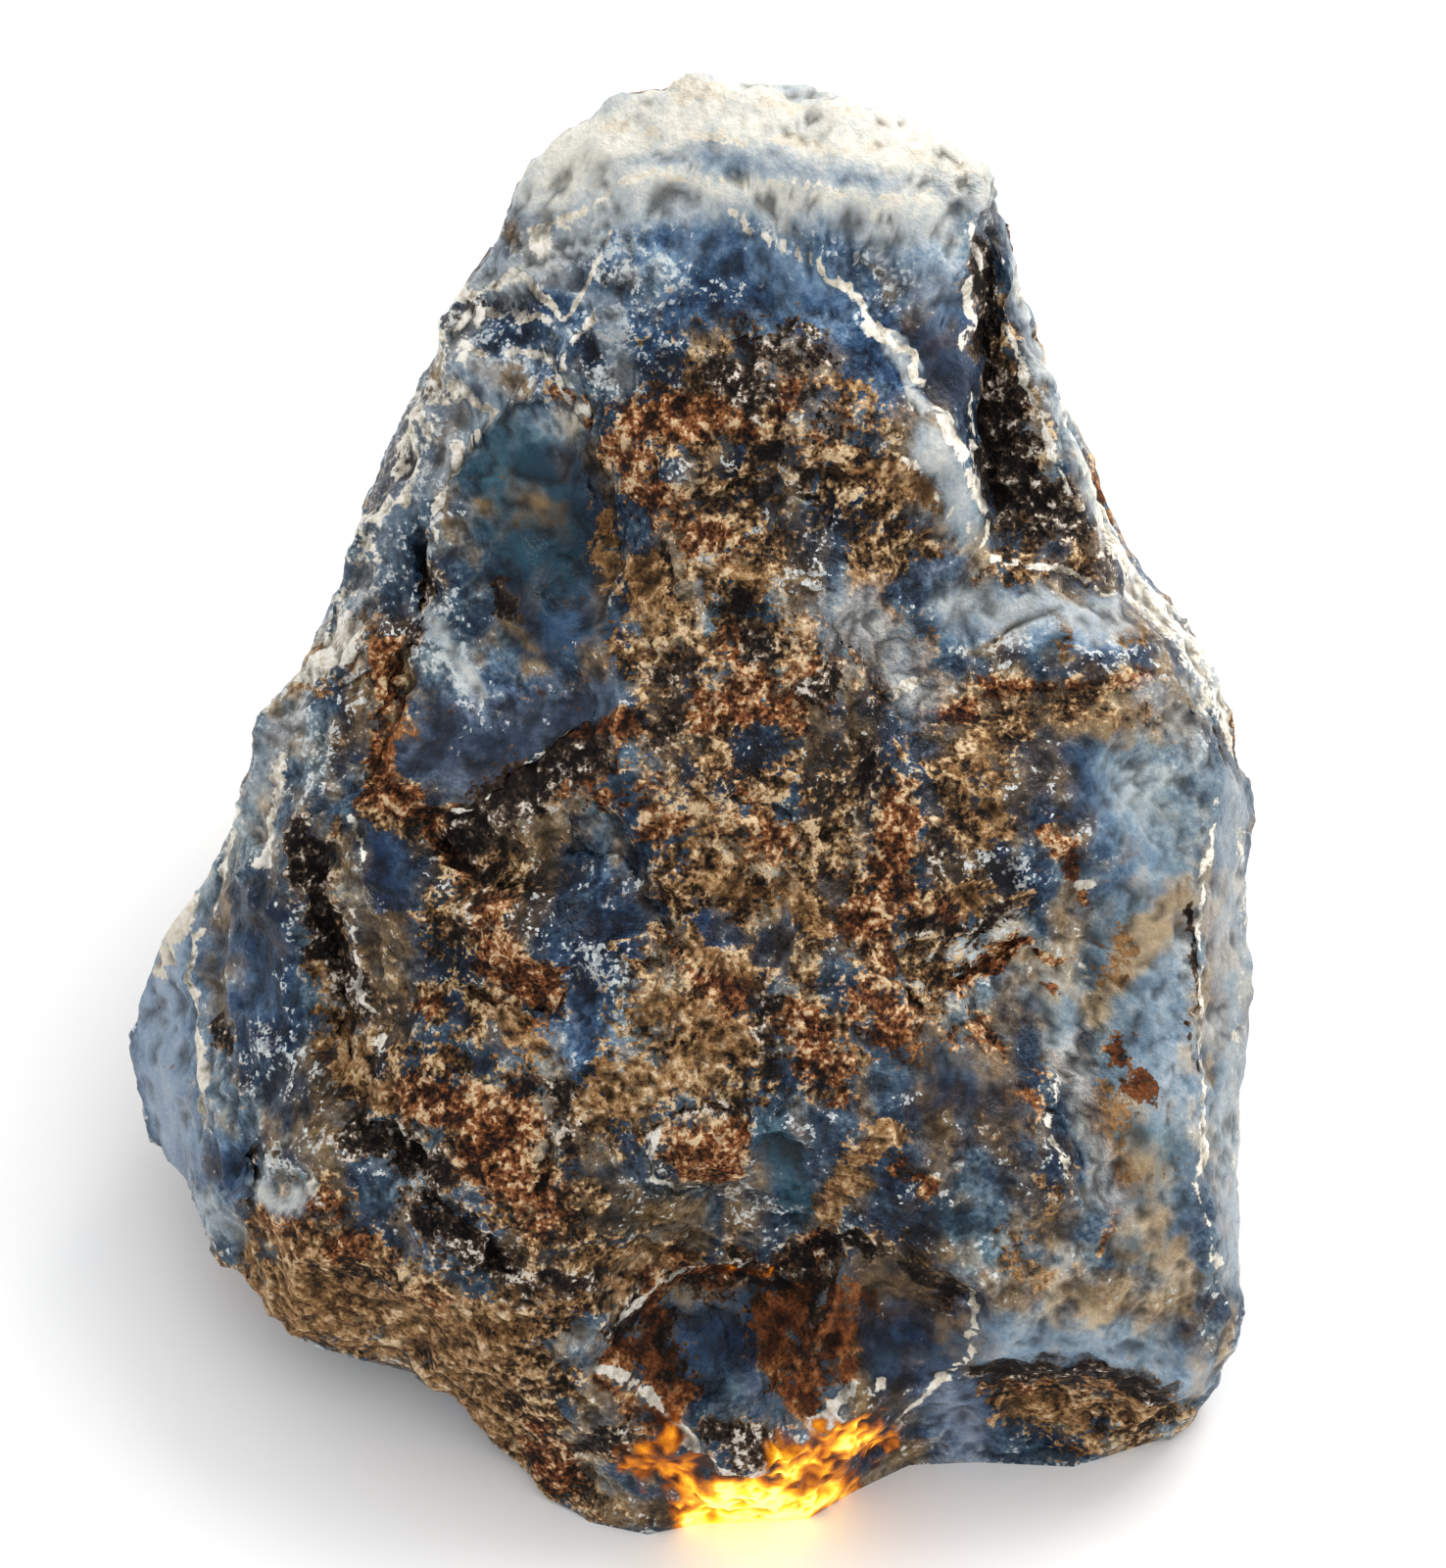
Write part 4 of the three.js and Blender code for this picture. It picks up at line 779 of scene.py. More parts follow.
        (0.4, 1.0, [(-24.2, 19.4), (-23.8, 18.0), (-24.2, 16.8)]),
        # Painted shadow under the right lip.
        (0.5, 1.0, [(13.6, 7.5), (19.0, 7.4), (23.0, 6.2)]),
        (0.6, 1.0, [(13.0, 8.0), (19.0, 7.9), (22.4, 6.9)]),
        (0.7, 0.9, [(25.4, 40.2), (26.4, 39.4)]),
        (0.16, 0.9, [(23.9, 31.8), (24.0, 23.2)]),
        (1.0, 1.0, [(6.4, 14.6), (8.4, 13.6)]),
        (0.5, 0.9, [(9.4, 12.8), (12.4, 11.8)]),
        (0.6, 0.9, [(-6.4, 9.8), (-5.2, 11.0)]),
        (1.0, 0.8, [(-0.6, 3.9), (2.6, 3.9)]),
        (0.8, 0.7, [(4.8, 57.0), (5.8, 56.0)]),
        (0.8, 0.8, [(10.4, 33.4), (11.4, 35.0)]),
        (0.9, 0.8, [(0.4, 47.4), (2.0, 45.0)]),
        (0.5, 0.9, [(-1.4, 22.0), (1.4, 21.6)]),
        (0.5, 0.8, [(10.0, 31.0), (12.8, 30.6), (14.4, 31.6)]),
        (0.9, 0.7, [(-7.6, 3.6), (-5.4, 5.0)]),
        (0.5, 0.9, [(-26.2, 25.6), (-25.8, 24.9)]),
        (1.6, 0.85, [(-12.8, 36.6), (-10.0, 37.4), (-7.4, 39.0)]),
        # Painted shadow under the scoop's rim.
        (2.0, 0.6, [(-4.6, 11.0), (0.0, 12.6), (5.2, 13.8)]),
        (1.2, 0.6, [(4.6, 12.6), (4.8, 8.6)]),
        (1.6, 0.55, SCOOP_CORNER),
        (1.0, 0.6, [(-4.0, 9.4), (-3.2, 7.0)]),
        (1.0, 0.6, [(5.4, 44.6), (4.8, 42.6)]),
        (1.2, 0.6, [(-2.4, 44.4), (-3.0, 40.2)]),
        (1.2, 0.55, [(2.6, 55.0), (4.4, 52.6)]),
        (1.2, 0.55, [(-8.6, 22.0), (-7.6, 19.6)]),
        (1.0, 0.6, [(2.6, 27.4), (3.0, 24.6)]),
        (1.2, 0.6, [(7.6, 39.4), (6.8, 36.8)]),
        (1.0, 0.5, [(-13.0, 31.0), (-12.4, 33.4)]),
        (1.5, 0.75, [(-11.8, 36.0), (-9.4, 36.4)]),
        (1.2, 0.7, [(-9.6, 12.8), (-6.8, 13.0)]),
    ],
    "deep": [
        (1.7, 0.6, [(-9.2, 54.6), (-8.0, 52.2), (-8.0, 49.4)]),
        (1.2, 0.7, [(-11.6, 49.6), (-9.4, 47.0)]),
        (1.0, 0.35, [(-2.6, 66.2), (0.6, 65.2), (3.2, 63.8), (5.0, 62.8)]),
        (1.0, 0.6, [(-0.6, 62.8), (2.0, 62.6)]),
        (0.9, 0.6, [(-12.0, 62.9), (-10.0, 62.8)]),
        (0.8, 1.0, [(-11.4, 60.9), (-9.4, 61.0)]),
        (1.5, 0.9, [(-5.8, 60.2), (-3.4, 59.6)]),
        (0.7, 0.8, [(0.6, 54.0)]),
        (0.5, 0.8, [(3.0, 54.6)]),
        (0.7, 1.0, [(6.2, 52.0), (6.0, 50.0)]),
        (1.3, 0.9, [(4.4, 49.4), (5.4, 47.2)]),
        (0.9, 0.9, [(-3.2, 42.2), (-2.2, 41.6)]),
        (0.9, 0.9, [(4.2, 40.6), (4.4, 36.8)]),
        (1.0, 0.9, [(5.8, 41.4), (7.6, 41.0)]),
        (0.8, 1.0, [(6.0, 33.0), (6.4, 29.6), (5.8, 27.4)]),
        (1.2, 1.0, [(-6.4, 31.8), (-5.4, 31.0)]),
        (1.4, 1.0, LOW_BLUE),
        (0.8, 0.95, CENTRE_BLUE),
        (0.95, 1.0, RECESS_BLUE),
        (0.7, 1.0, [(-17.6, 27.2), (-16.4, 26.4)]),
        (0.7, 1.0, [(-13.8, 26.4)]),
        (0.7, 0.8, [(-15.2, 29.2), (-13.2, 29.4)]),
        (1.6, 0.9, [(-23.6, 32.6), (-24.6, 29.0), (-24.4, 25.6)]),
        (1.3, 0.8, [(-24.4, 23.6), (-22.2, 21.6)]),
        (1.1, 1.0, CHIP_BLUE),
        (0.7, 1.0, SLATE_TOP),
        (0.7, 0.9, [(-17.6, 45.0), (-16.0, 45.8)]),
        (0.6, 1.0, [(14.4, 44.2), (18.0, 43.9), (21.4, 44.8)]),
        (1.4, 0.8, [(11.0, 22.4), (14.0, 20.6)]),
        (0.9, 0.9, [(13.0, 19.6), (15.0, 18.6)]),
        (0.8, 0.9, [(7.2, 25.2), (9.8, 24.8)]),
        (0.9, 0.95, [(13.4, 34.0), (15.4, 33.2)]),
        (1.6, 0.5, [(18.0, 37.4), (19.6, 34.6)]),
        (1.3, 1.0, SCOOP_BLUE),
        (1.2, 0.9, [(6.2, 8.6), (9.4, 9.6), (11.8, 10.2)]),
        (1.0, 0.8, [(-16.8, 22.8), (-18.6, 18.4)]),
        (1.0, 0.7, [(10.0, 60.8), (11.4, 58.0)]),
        (0.9, 0.7, [(-19.4, 42.4), (-20.2, 40.0)]),
        (1.8, 0.7, [(-14.6, 41.2), (-11.0, 40.6), (-8.0, 41.8)]),
        (2.0, 0.5, [(8.6, 11.6), (11.6, 10.6)]),
        (1.6, 0.5, [(-8.6, 32.6), (-9.4, 30.6)]),
        (1.4, 0.3, [(-12.6, 50.0), (-9.0, 52.0)]),
        (1.2, 0.9, [(3.6, 42.4), (5.6, 39.6)]),
        (1.0, 0.9, [(-4.4, 34.4), (-3.8, 31.4)]),
        (0.9, 0.9, [(1.6, 40.2), (0.4, 38.4)]),
        (0.8, 0.9, [(8.6, 47.8), (10.6, 46.8)]),
        (0.9, 0.9, [(10.6, 36.8), (11.6, 33.8)]),
        (1.0, 0.9, [(2.4, 30.2), (1.8, 27.8)]),
    ],
    "milk": [
        (1.1, 1.0, MILKY_SLIVER),
        (1.5, 0.9, [(9.4, 66.4), (11.6, 64.8)]),
        (1.0, 0.6, [(-5.0, 69.2), (-3.8, 69.4)]),
        (1.0, 0.7, [(3.0, 68.2), (6.6, 68.2)]),
        (1.7, 0.8, [(-7.4, 67.2), (-3.0, 68.2), (3.0, 67.8), (9.0, 66.8)]),
        (1.8, 0.55, [(-3.6, 65.6), (0.0, 65.0), (4.0, 63.4)]),
        (1.2, 0.6, [(11.2, 6.2), (12.8, 4.0)]),
        (1.1, 0.7, LOWER_LIP),
        (1.2, 0.9, [(11.8, 46.6), (13.4, 46.6)]),
        (1.4, 0.9, [(16.0, 46.4), (20.0, 46.4)]),
        (1.0, 0.9, [(19.6, 39.0), (23.6, 38.6)]),
        (0.9, 0.8, RIGHT_GLINT),
        (1.0, 0.9, [(22.8, 27.0), (22.8, 23.6)]),
        (1.0, 0.7, [(26.4, 33.0), (26.6, 24.0), (26.6, 14.0)]),
        (1.3, 0.8, [(14.6, 9.8), (18.4, 9.8), (22.4, 9.2)]),
        (0.6, 0.8, [(17.6, 13.4), (16.4, 11.2)]),
        (0.7, 1.0, PALE_SHARD),
        (3.0, 0.7, [(21.4, 38.4), (22.0, 33.0), (22.0, 27.0)]),
        (1.4, 0.6, [(14.0, 9.8), (19.0, 9.4), (24.6, 7.6)]),
        (1.2, 0.8, [(21.4, 4.8), (23.6, 5.4)]),
        (2.2, 0.7, [(19.0, 30.0), (20.4, 24.0), (22.6, 20.0)]),
        (2.2, 0.65, [(23.0, 18.0), (23.0, 12.0)]),
        (1.6, 0.6, [(12.4, 12.6), (14.6, 15.0)]),
        (1.4, 0.5, [(-24.0, 43.0), (-22.0, 44.6)]),
        (2.2, 0.8, [(-29.2, 30.4), (-29.8, 26.0), (-29.0, 20.0)]),
        (1.6, 0.5, [(-24.0, 36.0), (-22.4, 40.0)]),
        (0.5, 0.8, HOLLOW_GLINT),
        (0.9, 0.7, [(-14.6, 45.4), (-12.8, 42.6)]),
        (0.9, 0.8, [(-26.2, 16.4), (-24.8, 13.6)]),
        (0.7, 0.9, [(-23.4, 17.6), (-21.6, 16.8)]),
        (1.8, 0.5, [(21.0, 20.0), (22.0, 16.0)]),
        (1.6, 0.5, [(21.0, 35.6), (22.6, 34.0)]),
    ],
    "slate": [
        (1.9, 0.5, BULGE_FACE),
        (1.7, 1.0, SLATE_FACET),
        (1.2, 1.0, [(-14.6, 41.4), (-10.0, 41.6)]),
        (1.5, 0.7, [(10.4, 62.6), (11.4, 58.6)]),
        (1.6, 1.0, [(11.2, 6.4), (12.6, 4.2)]),
        (1.2, 0.8, [(7.8, 49.8), (10.8, 49.2)]),
        (0.8, 0.9, [(1.4, 7.2), (1.6, 5.4)]),
        (0.9, 0.8, [(9.4, 40.6), (10.6, 39.4)]),
        (1.4, 0.7, [(-15.0, 15.0), (-12.4, 16.2)]),
        (1.4, 0.6, [(23.4, 17.0), (23.6, 14.8)]),
    ],
    "azure": [
        (2.0, 1.0, [(-4.0, 66.0), (0.0, 65.4), (3.4, 63.8), (6.4, 61.8), (8.6, 59.0)]),
        (1.2, 0.9, [(-2.6, 62.6), (1.0, 62.8), (3.6, 61.4)]),
        (1.6, 0.9, [(-12.0, 62.9), (-10.0, 62.8), (-9.6, 60.9)]),
        (1.6, 0.8, [(-7.4, 62.4), (-3.6, 60.2)]),
        (1.4, 0.7, [(-12.6, 58.4), (-10.4, 58.6)]),
        (1.8, 0.7, [(6.0, 66.0), (10.0, 64.6), (11.6, 61.0)]),
        (1.6, 0.6, [(-8.6, 67.6), (-5.0, 68.4), (0.0, 68.6), (6.0, 67.6)]),
        (2.4, 0.9, BULGE_FACE),
        (1.2, 0.5, LOWER_LIP),
        (2.0, 0.4, [(18.6, 37.6), (21.0, 34.0)]),
        (1.6, 0.4, [(22.8, 28.0), (22.8, 22.0)]),
        (1.0, 0.9, [(-17.1, 34.4), (-17.1, 32.4)]),
        (1.4, 0.9, LOW_BLUE),
        (1.2, 0.8, [(-6.6, 32.0), (-5.2, 30.8)]),
        (1.0, 0.8, CENTRE_BLUE),
        (0.8, 0.8, SLATE_TOP),
        (1.5, 0.7, [(-10.0, 48.6), (-8.0, 46.4)]),
        (1.4, 0.7, [(12.0, 46.4), (16.0, 46.0), (20.4, 45.8)]),
        (1.4, 0.9, SCOOP_BLUE),
        (1.5, 0.6, [(9.0, 10.0), (11.8, 10.4)]),
        (1.7, 0.8, [(11.2, 6.4), (12.8, 4.0)]),
        (1.8, 0.6, [(-24.6, 29.0), (-24.4, 25.6)]),
        (1.1, 0.9, [(-25.8, 18.8), (-25.4, 17.6)]),
        (1.2, 0.6, [(13.4, 34.4), (15.6, 33.2)]),
    ],
    "green": [
        (2.4, 0.9, [(-11.6, 54.2), (-10.4, 51.4), (-9.4, 49.6)]),
        (1.0, 0.9, GREEN_LENS),
        (1.8, 0.7, [(-7.0, 16.6), (-2.6, 15.8)]),
        (1.6, 0.7, [(21.4, 19.4), (21.8, 15.0)]),
        (1.2, 0.6, [(13.4, 14.0), (11.8, 16.4)]),
        (0.8, 0.9, [(-14.4, 30.6), (-13.4, 32.4)]),
    ],
    "olive": [
        (0.9, 0.8, [(-9.8, 52.4), (-9.6, 51.4)]),
        (0.5, 0.8, [(-12.4, 52.0)]),
        (0.4, 0.8, [(-11.4, 46.4), (-9.6, 44.9)]),
        (0.4, 0.9, [(13.2, 45.2), (15.2, 46.5)]),
        (1.7, 1.0, [(12.0, 41.8), (16.2, 42.0), (20.4, 41.8), (23.4, 42.0)]),
        (0.5, 1.0, [(-17.8, 31.3), (-16.4, 31.2)]),
        (1.4, 0.9, [(-11.4, 34.9), (-9.2, 35.2)]),
        (1.9, 0.8, [(-7.0, 16.6), (-2.6, 15.4)]),
        (1.4, 0.8, [(22.8, 12.8), (23.8, 11.0)]),
        (1.0, 0.7, [(11.6, 41.6), (12.4, 39.4)]),
        (0.9, 0.8, [(-7.4, 0.9), (-3.0, 0.4)]),
        (1.8, 0.6, LEFT_FOOT),
        (1.6, 0.6, [(-23.4, 15.6), (-20.4, 14.8)]),
        (1.4, 0.7, [(13.0, 36.6), (12.6, 33.0)]),
        (1.5, 0.8, [(15.2, 12.4), (18.6, 12.0), (22.6, 11.6)]),
        (2.2, 0.7, [(8.4, 12.6), (11.4, 11.0)]),
        (1.6, 0.5, [(16.6, 38.6), (18.0, 34.0)]),
        (2.4, 0.5, [(12.6, 24.6), (14.6, 19.6)]),
        (2.0, 0.6, [(20.6, 21.0), (21.4, 14.6)]),
        (1.2, 0.8, [(25.4, 33.0), (25.0, 24.0)]),
        (1.4, 0.7, [(19.0, 47.4), (22.6, 45.6)]),
        (0.9, 1.0, [(23.3, 32.6), (22.0, 30.4), (20.6, 28.4), (19.0, 26.2)]),
        (0.7, 0.95, [(17.9, 23.6), (18.8, 21.0), (19.8, 18.2)]),
        (1.0, 0.9, [(22.8, 13.8), (24.0, 11.4)]),
        (1.4, 0.5, [(16.6, 15.4), (18.6, 12.4)]),
        (0.9, 0.9, [(-10.4, 66.6), (-8.2, 64.2)]),
        (0.8, 0.9, [(-12.8, 58.8), (-10.6, 57.8)]),
        (0.9, 0.8, [(-13.4, 64.4), (-12.6, 62.2)]),
        (1.2, 0.6, [(2.8, 59.0), (5.4, 59.0)]),
    ],
    # Amber at the thin foot; its brightest yellow and its glow are painted light shining through
    # the foot from behind.
    "amber_glow": [
        (1.5, 0.5, [(-3.4, 3.6), (-2.0, 2.2), (-1.0, 1.0)]),
        (0.9, 1.0, [(0.2, 1.4), (1.6, 1.2), (3.2, 1.6)]),
        (1.3, 0.72, [(3.6, 2.6), (5.2, 3.8), (6.8, 4.6)]),
        (1.2, 0.95, [(-1.4, 0.0), (1.2, -0.4), (3.8, 0.2), (5.4, 1.4)]),
        (1.0, 0.5, [(6.8, 4.0), (8.2, 4.0)]),
        (0.8, 1.0, [(-0.6, 0.9), (1.6, 0.6), (3.6, 0.9)]),
        (0.45, 0.42, [(-0.6, 13.0), (1.6, 13.4)]),
    ],
    "glassy": [
        (2.7, 1.0, [(-11.6, 54.6), (-9.4, 53.6), (-9.2, 49.6), (-8.0, 47.0)]),
        (2.2, 1.0, [(-29.2, 30.0), (-29.6, 25.0), (-28.6, 19.0)]),
        (1.7, 0.8, SLATE_FACET),
        (1.1, 1.0, MILKY_SLIVER),
        (2.8, 1.0, [(-9.0, 69.6), (-1.0, 71.6), (9.0, 70.0)]),
        (1.5, 1.0, [(-4.0, 68.4), (1.0, 68.0), (6.0, 67.4), (10.6, 66.9)]),
        (2.8, 0.9, [(20.0, 38.6), (22.0, 35.4), (21.6, 27.0), (22.0, 18.0)]),
        (1.4, 0.9, [(8.6, 8.6), (14.0, 9.8), (19.0, 9.4), (24.6, 7.6)]),
        (1.6, 0.8, [(10.0, 23.6), (14.0, 22.0)]),
        (1.3, 1.0, RIGHT_STRIP),
        (1.5, 0.8, [(10.6, 63.0), (11.6, 58.6)]),
        (1.6, 0.7, [(-2.0, 66.0), (0.6, 65.2), (3.2, 63.8), (5.0, 62.8)]),
        (0.9, 0.9, RECESS_BLUE),
        (0.9, 0.8, RIGHT_GLINT),
        (2.8, 0.85, [(-3.4, 8.4), (0.6, 9.6), (4.6, 9.6), (8.8, 10.8)]),
        (1.4, 0.7, [(3.0, 6.0), (7.0, 8.0)]),
        (1.8, 0.7, [(14.6, 9.8), (18.4, 10.0), (22.4, 9.2)]),
        (1.2, 1.0, [(11.4, 5.4), (13.2, 4.0)]),
        (1.3, 0.8, [(12.0, 46.6), (16.0, 46.4), (20.0, 46.4)]),
        (1.6, 0.7, [(-24.2, 31.0), (-24.6, 27.0)]),
        (1.4, 0.8, [(-1.6, 8.8), (0.6, 8.8)]),
        (2.0, 0.7, [(21.6, 20.0), (22.0, 15.0)]),
        (0.9, 0.9, CHIP_BLUE),
        (1.0, 0.7, GREEN_LENS),
    ],
    "frost": [
        (3.0, 0.7, [(-12.4, 64.0), (-11.4, 60.0)]),
        (2.4, 0.6, [(-2.0, 63.4), (2.0, 64.0)]),
        (1.8, 0.9, [(-8.4, 66.0), (-5.0, 65.0), (-3.6, 67.6), (1.0, 67.6), (7.0, 65.6)]),
        (1.8, 1.0, [(-5.6, 60.0), (-3.0, 58.8)]),
        (1.5, 0.8, [(6.4, 65.0), (8.8, 63.0)]),
        (2.4, 0.5, [(-14.8, 56.4), (-17.6, 50.4), (-20.0, 44.6), (-22.4, 39.6)]),
        (1.2, 1.0, [(-14.4, 46.0), (-13.2, 42.6)]),
        (1.6, 0.62, [(-13.0, 40.2), (-9.0, 40.8)]),
        (1.6, 0.7, [(-23.6, 31.0), (-24.0, 24.0)]),
        (1.6, 0.8, [(11.8, 46.0), (16.0, 45.4), (20.6, 45.8)]),
        (2.2, 0.35, [(15.6, 38.0), (18.6, 36.0), (19.4, 33.6)]),
        (0.7, 1.0, PALE_SHARD),
        (1.0, 1.0, [(-6.4, 28.6), (-4.8, 26.8)]),
        (1.2, 0.9, [(-4.8, 23.6), (-2.4, 23.8)]),
        (0.9, 0.9, [(0.2, 17.4), (2.6, 16.6)]),
        (1.2, 0.7, [(7.0, 9.8), (11.4, 10.4)]),
        (2.6, 0.5, [(3.0, 48.0), (1.0, 51.0)]),
        (1.0, 0.9, [(-23.4, 17.8), (-21.4, 16.8)]),
        (1.4, 0.4, [(-20.6, 24.0), (-19.6, 20.6)]),
        (1.2, 0.7, [(-7.6, 45.6), (-6.0, 47.6)]),
        (1.0, 0.8, [(13.4, 34.4), (15.4, 33.4)]),
    ],
    "crusted": [
        (3.4, 0.7, [(-1.0, 57.4), (0.0, 52.0), (2.4, 46.0)]),
        (3.4, 0.6, [(5.6, 56.0), (7.6, 52.0)]),
        (4.2, 0.7, [(-2.0, 46.0), (0.0, 38.0), (0.0, 30.0)]),
        (3.4, 0.65, [(-3.6, 27.0), (1.0, 24.6)]),
        (2.8, 0.6, [(7.6, 45.0), (8.6, 38.0), (9.6, 31.0), (8.4, 25.0)]),
        (2.2, 0.5, [(13.0, 40.0), (14.0, 33.0)]),
        (2.6, 0.7, [(-16.0, 36.6), (-12.0, 33.0)]),
        (2.6, 0.6, [(-13.6, 30.0), (-13.0, 24.0), (-10.0, 18.0)]),
        (3.4, 0.95, [(-21.4, 13.4), (-16.0, 10.6), (-11.6, 8.4), (-11.0, 4.0)]),
        (2.0, 0.9, [(-8.4, 12.4), (-4.6, 13.2)]),
        (2.2, 0.8, [(15.2, 6.2), (18.4, 6.0), (21.8, 5.4)]),
        (1.6, 1.0, [(14.2, 60.6), (14.8, 56.0), (15.8, 52.4)]),
        (1.8, 0.9, [(-21.2, 34.0), (-20.0, 28.0), (-19.0, 23.0)]),
        (1.6, 0.6, [(18.8, 24.0), (19.6, 18.0)]),
        (1.6, 0.8, [(4.2, 14.0), (4.0, 7.0)]),
        (2.0, 0.75, [(-4.6, 10.8), (0.0, 12.4), (5.0, 13.6)]),
        (1.4, 0.8, [(-4.6, 9.0), (-3.0, 6.0)]),
        (1.8, 0.6, SCOOP_CORNER),
        (2.6, 0.75, [(1.0, 56.0), (6.0, 54.0), (8.0, 50.0)]),
        (3.6, 0.75, [(0.0, 50.0), (2.0, 42.0), (6.0, 34.0), (6.0, 26.0)]),
        (2.2, 0.7, [(12.0, 38.0), (11.6, 33.0), (10.6, 29.0)]),
        (1.8, 0.6, [(14.4, 41.4), (19.0, 42.2), (22.4, 41.6)]),
        (2.0, 0.6, [(-7.0, 21.0), (-2.0, 21.6), (2.0, 23.0)]),
        (2.4, 0.6, [(-16.8, 24.0), (-13.0, 19.6), (-8.6, 16.4)]),
        (1.4, 0.6, [(-17.8, 43.0), (-17.4, 39.0)]),
        (2.2, 0.5, [(-9.4, 3.6), (-7.0, 2.0)]),
        (1.6, 0.5, [(14.0, 49.0), (18.0, 49.6)]),
    ],
}
# A stroke is full within the first share of its half width and gone beyond the second.
FULL_WITHIN = 0.1
GONE_BEYOND = 1.75
# How far a stroke and a thin cream line are pushed about, and the size of the push.
STROKE_WARP = 0.8
LINE_WARP = 0.35
STROKE_WARP_SIZE = 2.4
# How strongly noise breaks a finish's edge, its size, gain and seed, and its share on the
# finishes that lie evenly.
EDGE_BREAK = 1.8
EDGE_SIZE = 1.3
EDGE_GAIN = 0.7
EDGE_SEED = 3
EVEN_BREAK = 0.4
EVEN_FINISHES = ("pale", "milk", "azure", "slate", "green", "olive", "glassy")
# Each finish has seeds of its own, a step apart.
FRONT_SEED = 100
FRONT_SEED_STEP = 7


def stroke_share(line, half, across, up):
    """How much of one stroke lies at each point, from 0 to 1."""
    if len(line) == 1:
        gap = np.hypot(across - line[0][0], up - line[0][1])
    else:
        gap = beside(line, across, up)[0]
    return smooth_step(gap / half, GONE_BEYOND, FULL_WITHIN)


def finish_cover(surface, name):
    """How much of a finish lies at each point of the front, from 0 to 1."""
    seed = FRONT_SEED + FRONT_SEED_STEP * list(FINISHES).index(name)
    reach = LINE_WARP if name == "cream" else STROKE_WARP
    across, up = warped(surface.points, STROKE_WARP_SIZE, reach, seed)
    edge = EDGE_BREAK * cloud(surface.points, EDGE_SIZE, seed + EDGE_SEED, 4, EDGE_GAIN)
    cover = np.zeros(across.shape)
    for half, strength, line in FINISHES[name]:
        share = stroke_share(line, half, across, up)
        if name in EVEN_FINISHES:
            share = np.clip(share + EVEN_BREAK * edge * share * (1.0 - share), 0.0, 1.0)
        cover = np.maximum(cover, strength * share)
    if name not in EVEN_FINISHES:
        cover += edge * cover * (1.0 - cover)
    return np.clip(cover, 0.0, 1.0) * surface.front


# The same finishes lie in clouds behind the front: cloud size, the noise levels where the
# finish starts and is whole, and its strength.
BACK_CLOUDS = {
    "cream": (9.0, 0.25, 0.6, 0.7),
    "tan": (10.0, 0.05, 0.5, 0.9),
    "rust": (8.0, 0.1, 0.5, 0.9),
    "umber_and_shadow": (7.0, 0.25, 0.6, 0.9),
    "deep": (9.0, 0.05, 0.5, 0.9),
    "milk": (11.0, 0.0, 0.5, 0.9),
    "slate": (12.0, 0.0, 0.5, 0.9),
    "azure": (10.0, 0.1, 0.6, 0.9),
    "pale": (12.0, 0.2, 0.7, 0.5),
    "green": (12.0, 0.1, 0.6, 0.7),
    "olive": (9.0, 0.2, 0.6, 0.8),
    "glassy": (12.0, 0.1, 0.5, 0.9),
    "frost": (8.0, -0.2, 0.5, 0.8),
    "crusted": (13.0, -0.2, 0.4, 0.75),
}
BACK_OCTAVES = 5
BACK_GAIN = 0.6
BACK_SEED = 201
BACK_SEED_STEP = 5


def back_cover(surface, name):
    """A finish's share on the back and flanks, where it lies in clouds."""
    if name not in BACK_CLOUDS:
        return 0.0
    size, low, high, strength = BACK_CLOUDS[name]
    seed = BACK_SEED + BACK_SEED_STEP * list(FINISHES).index(name)
    clouds = cloud(surface.points, size, seed, BACK_OCTAVES, BACK_GAIN)
    return strength * smooth_step(clouds, low, high) * (1.0 - surface.front)


# How much of the crust glassy and deep blue places keep off.
CRUST_OFF = {"glassy": 0.9, "deep": 0.8}


def crust_cover(cover):
    """Weathered crust, with painted shadow in some dark brown strokes: the named patches and the
    cover between.
    """
    named = np.maximum.reduce([cover["tan"], cover["rust"], cover["umber_and_shadow"]])
    clear = np.maximum.reduce([share * cover[name] for name, share in CRUST_OFF.items()])
    general = cover["crusted"] * (1.0 - clear)
    return np.clip(np.maximum(general, named), 0.0, 1.0)


# ---- Shaping --------------------------------------------------------------------------------

# Facets: their size and seed, how far they are bent and stretched, and how high they stand.
BROAD_FACETS = (3.4, 41)
SMALL_FACETS = (1.5, 47)
FACETS_BENT = 0.25
FACET_STRETCH = np.array([1.0, 1.35, 0.8])
BROAD_RELIEF = 0.26
SMALL_RELIEF = 0.12
# Terraces: their size, levels and seed, and how high they stand.
TERRACES = (5.0, 2.2, 71)
TERRACE_RELIEF = 0.34
# The stone is swollen by this much, because the scars then take it off again.
SWELL = 0.15
# How much of this relief a glassy place loses.
GLASSY_CALM = 0.85
# Lumps and pits: their size and seed, the noise where a pit starts and is whole, and how
# high or deep they go.
CRUST_LUMPS = (1.5, 50)
CRUST_RELIEF = 0.32
CRUST_PITS = (1.5, 61)
PIT_LEVELS = (0.35, 0.8)
PIT_DEPTH = 0.5
AMBER_LUMPS = (1.8, 70)
AMBER_RELIEF = 0.5
LUMP_MIDDLE = 0.4


def tilted_facets(points, size, seed):
    """Small tilted facets: their height from about -1 to 1, tone, kind and rim distance."""
    bent = points + FACETS_BENT * size * np.stack(
        [cloud(points, size, seed + axis, 2) for axis in range(3)], axis=1)
    return nearest_cells(bent * FACET_STRETCH, size, seed)


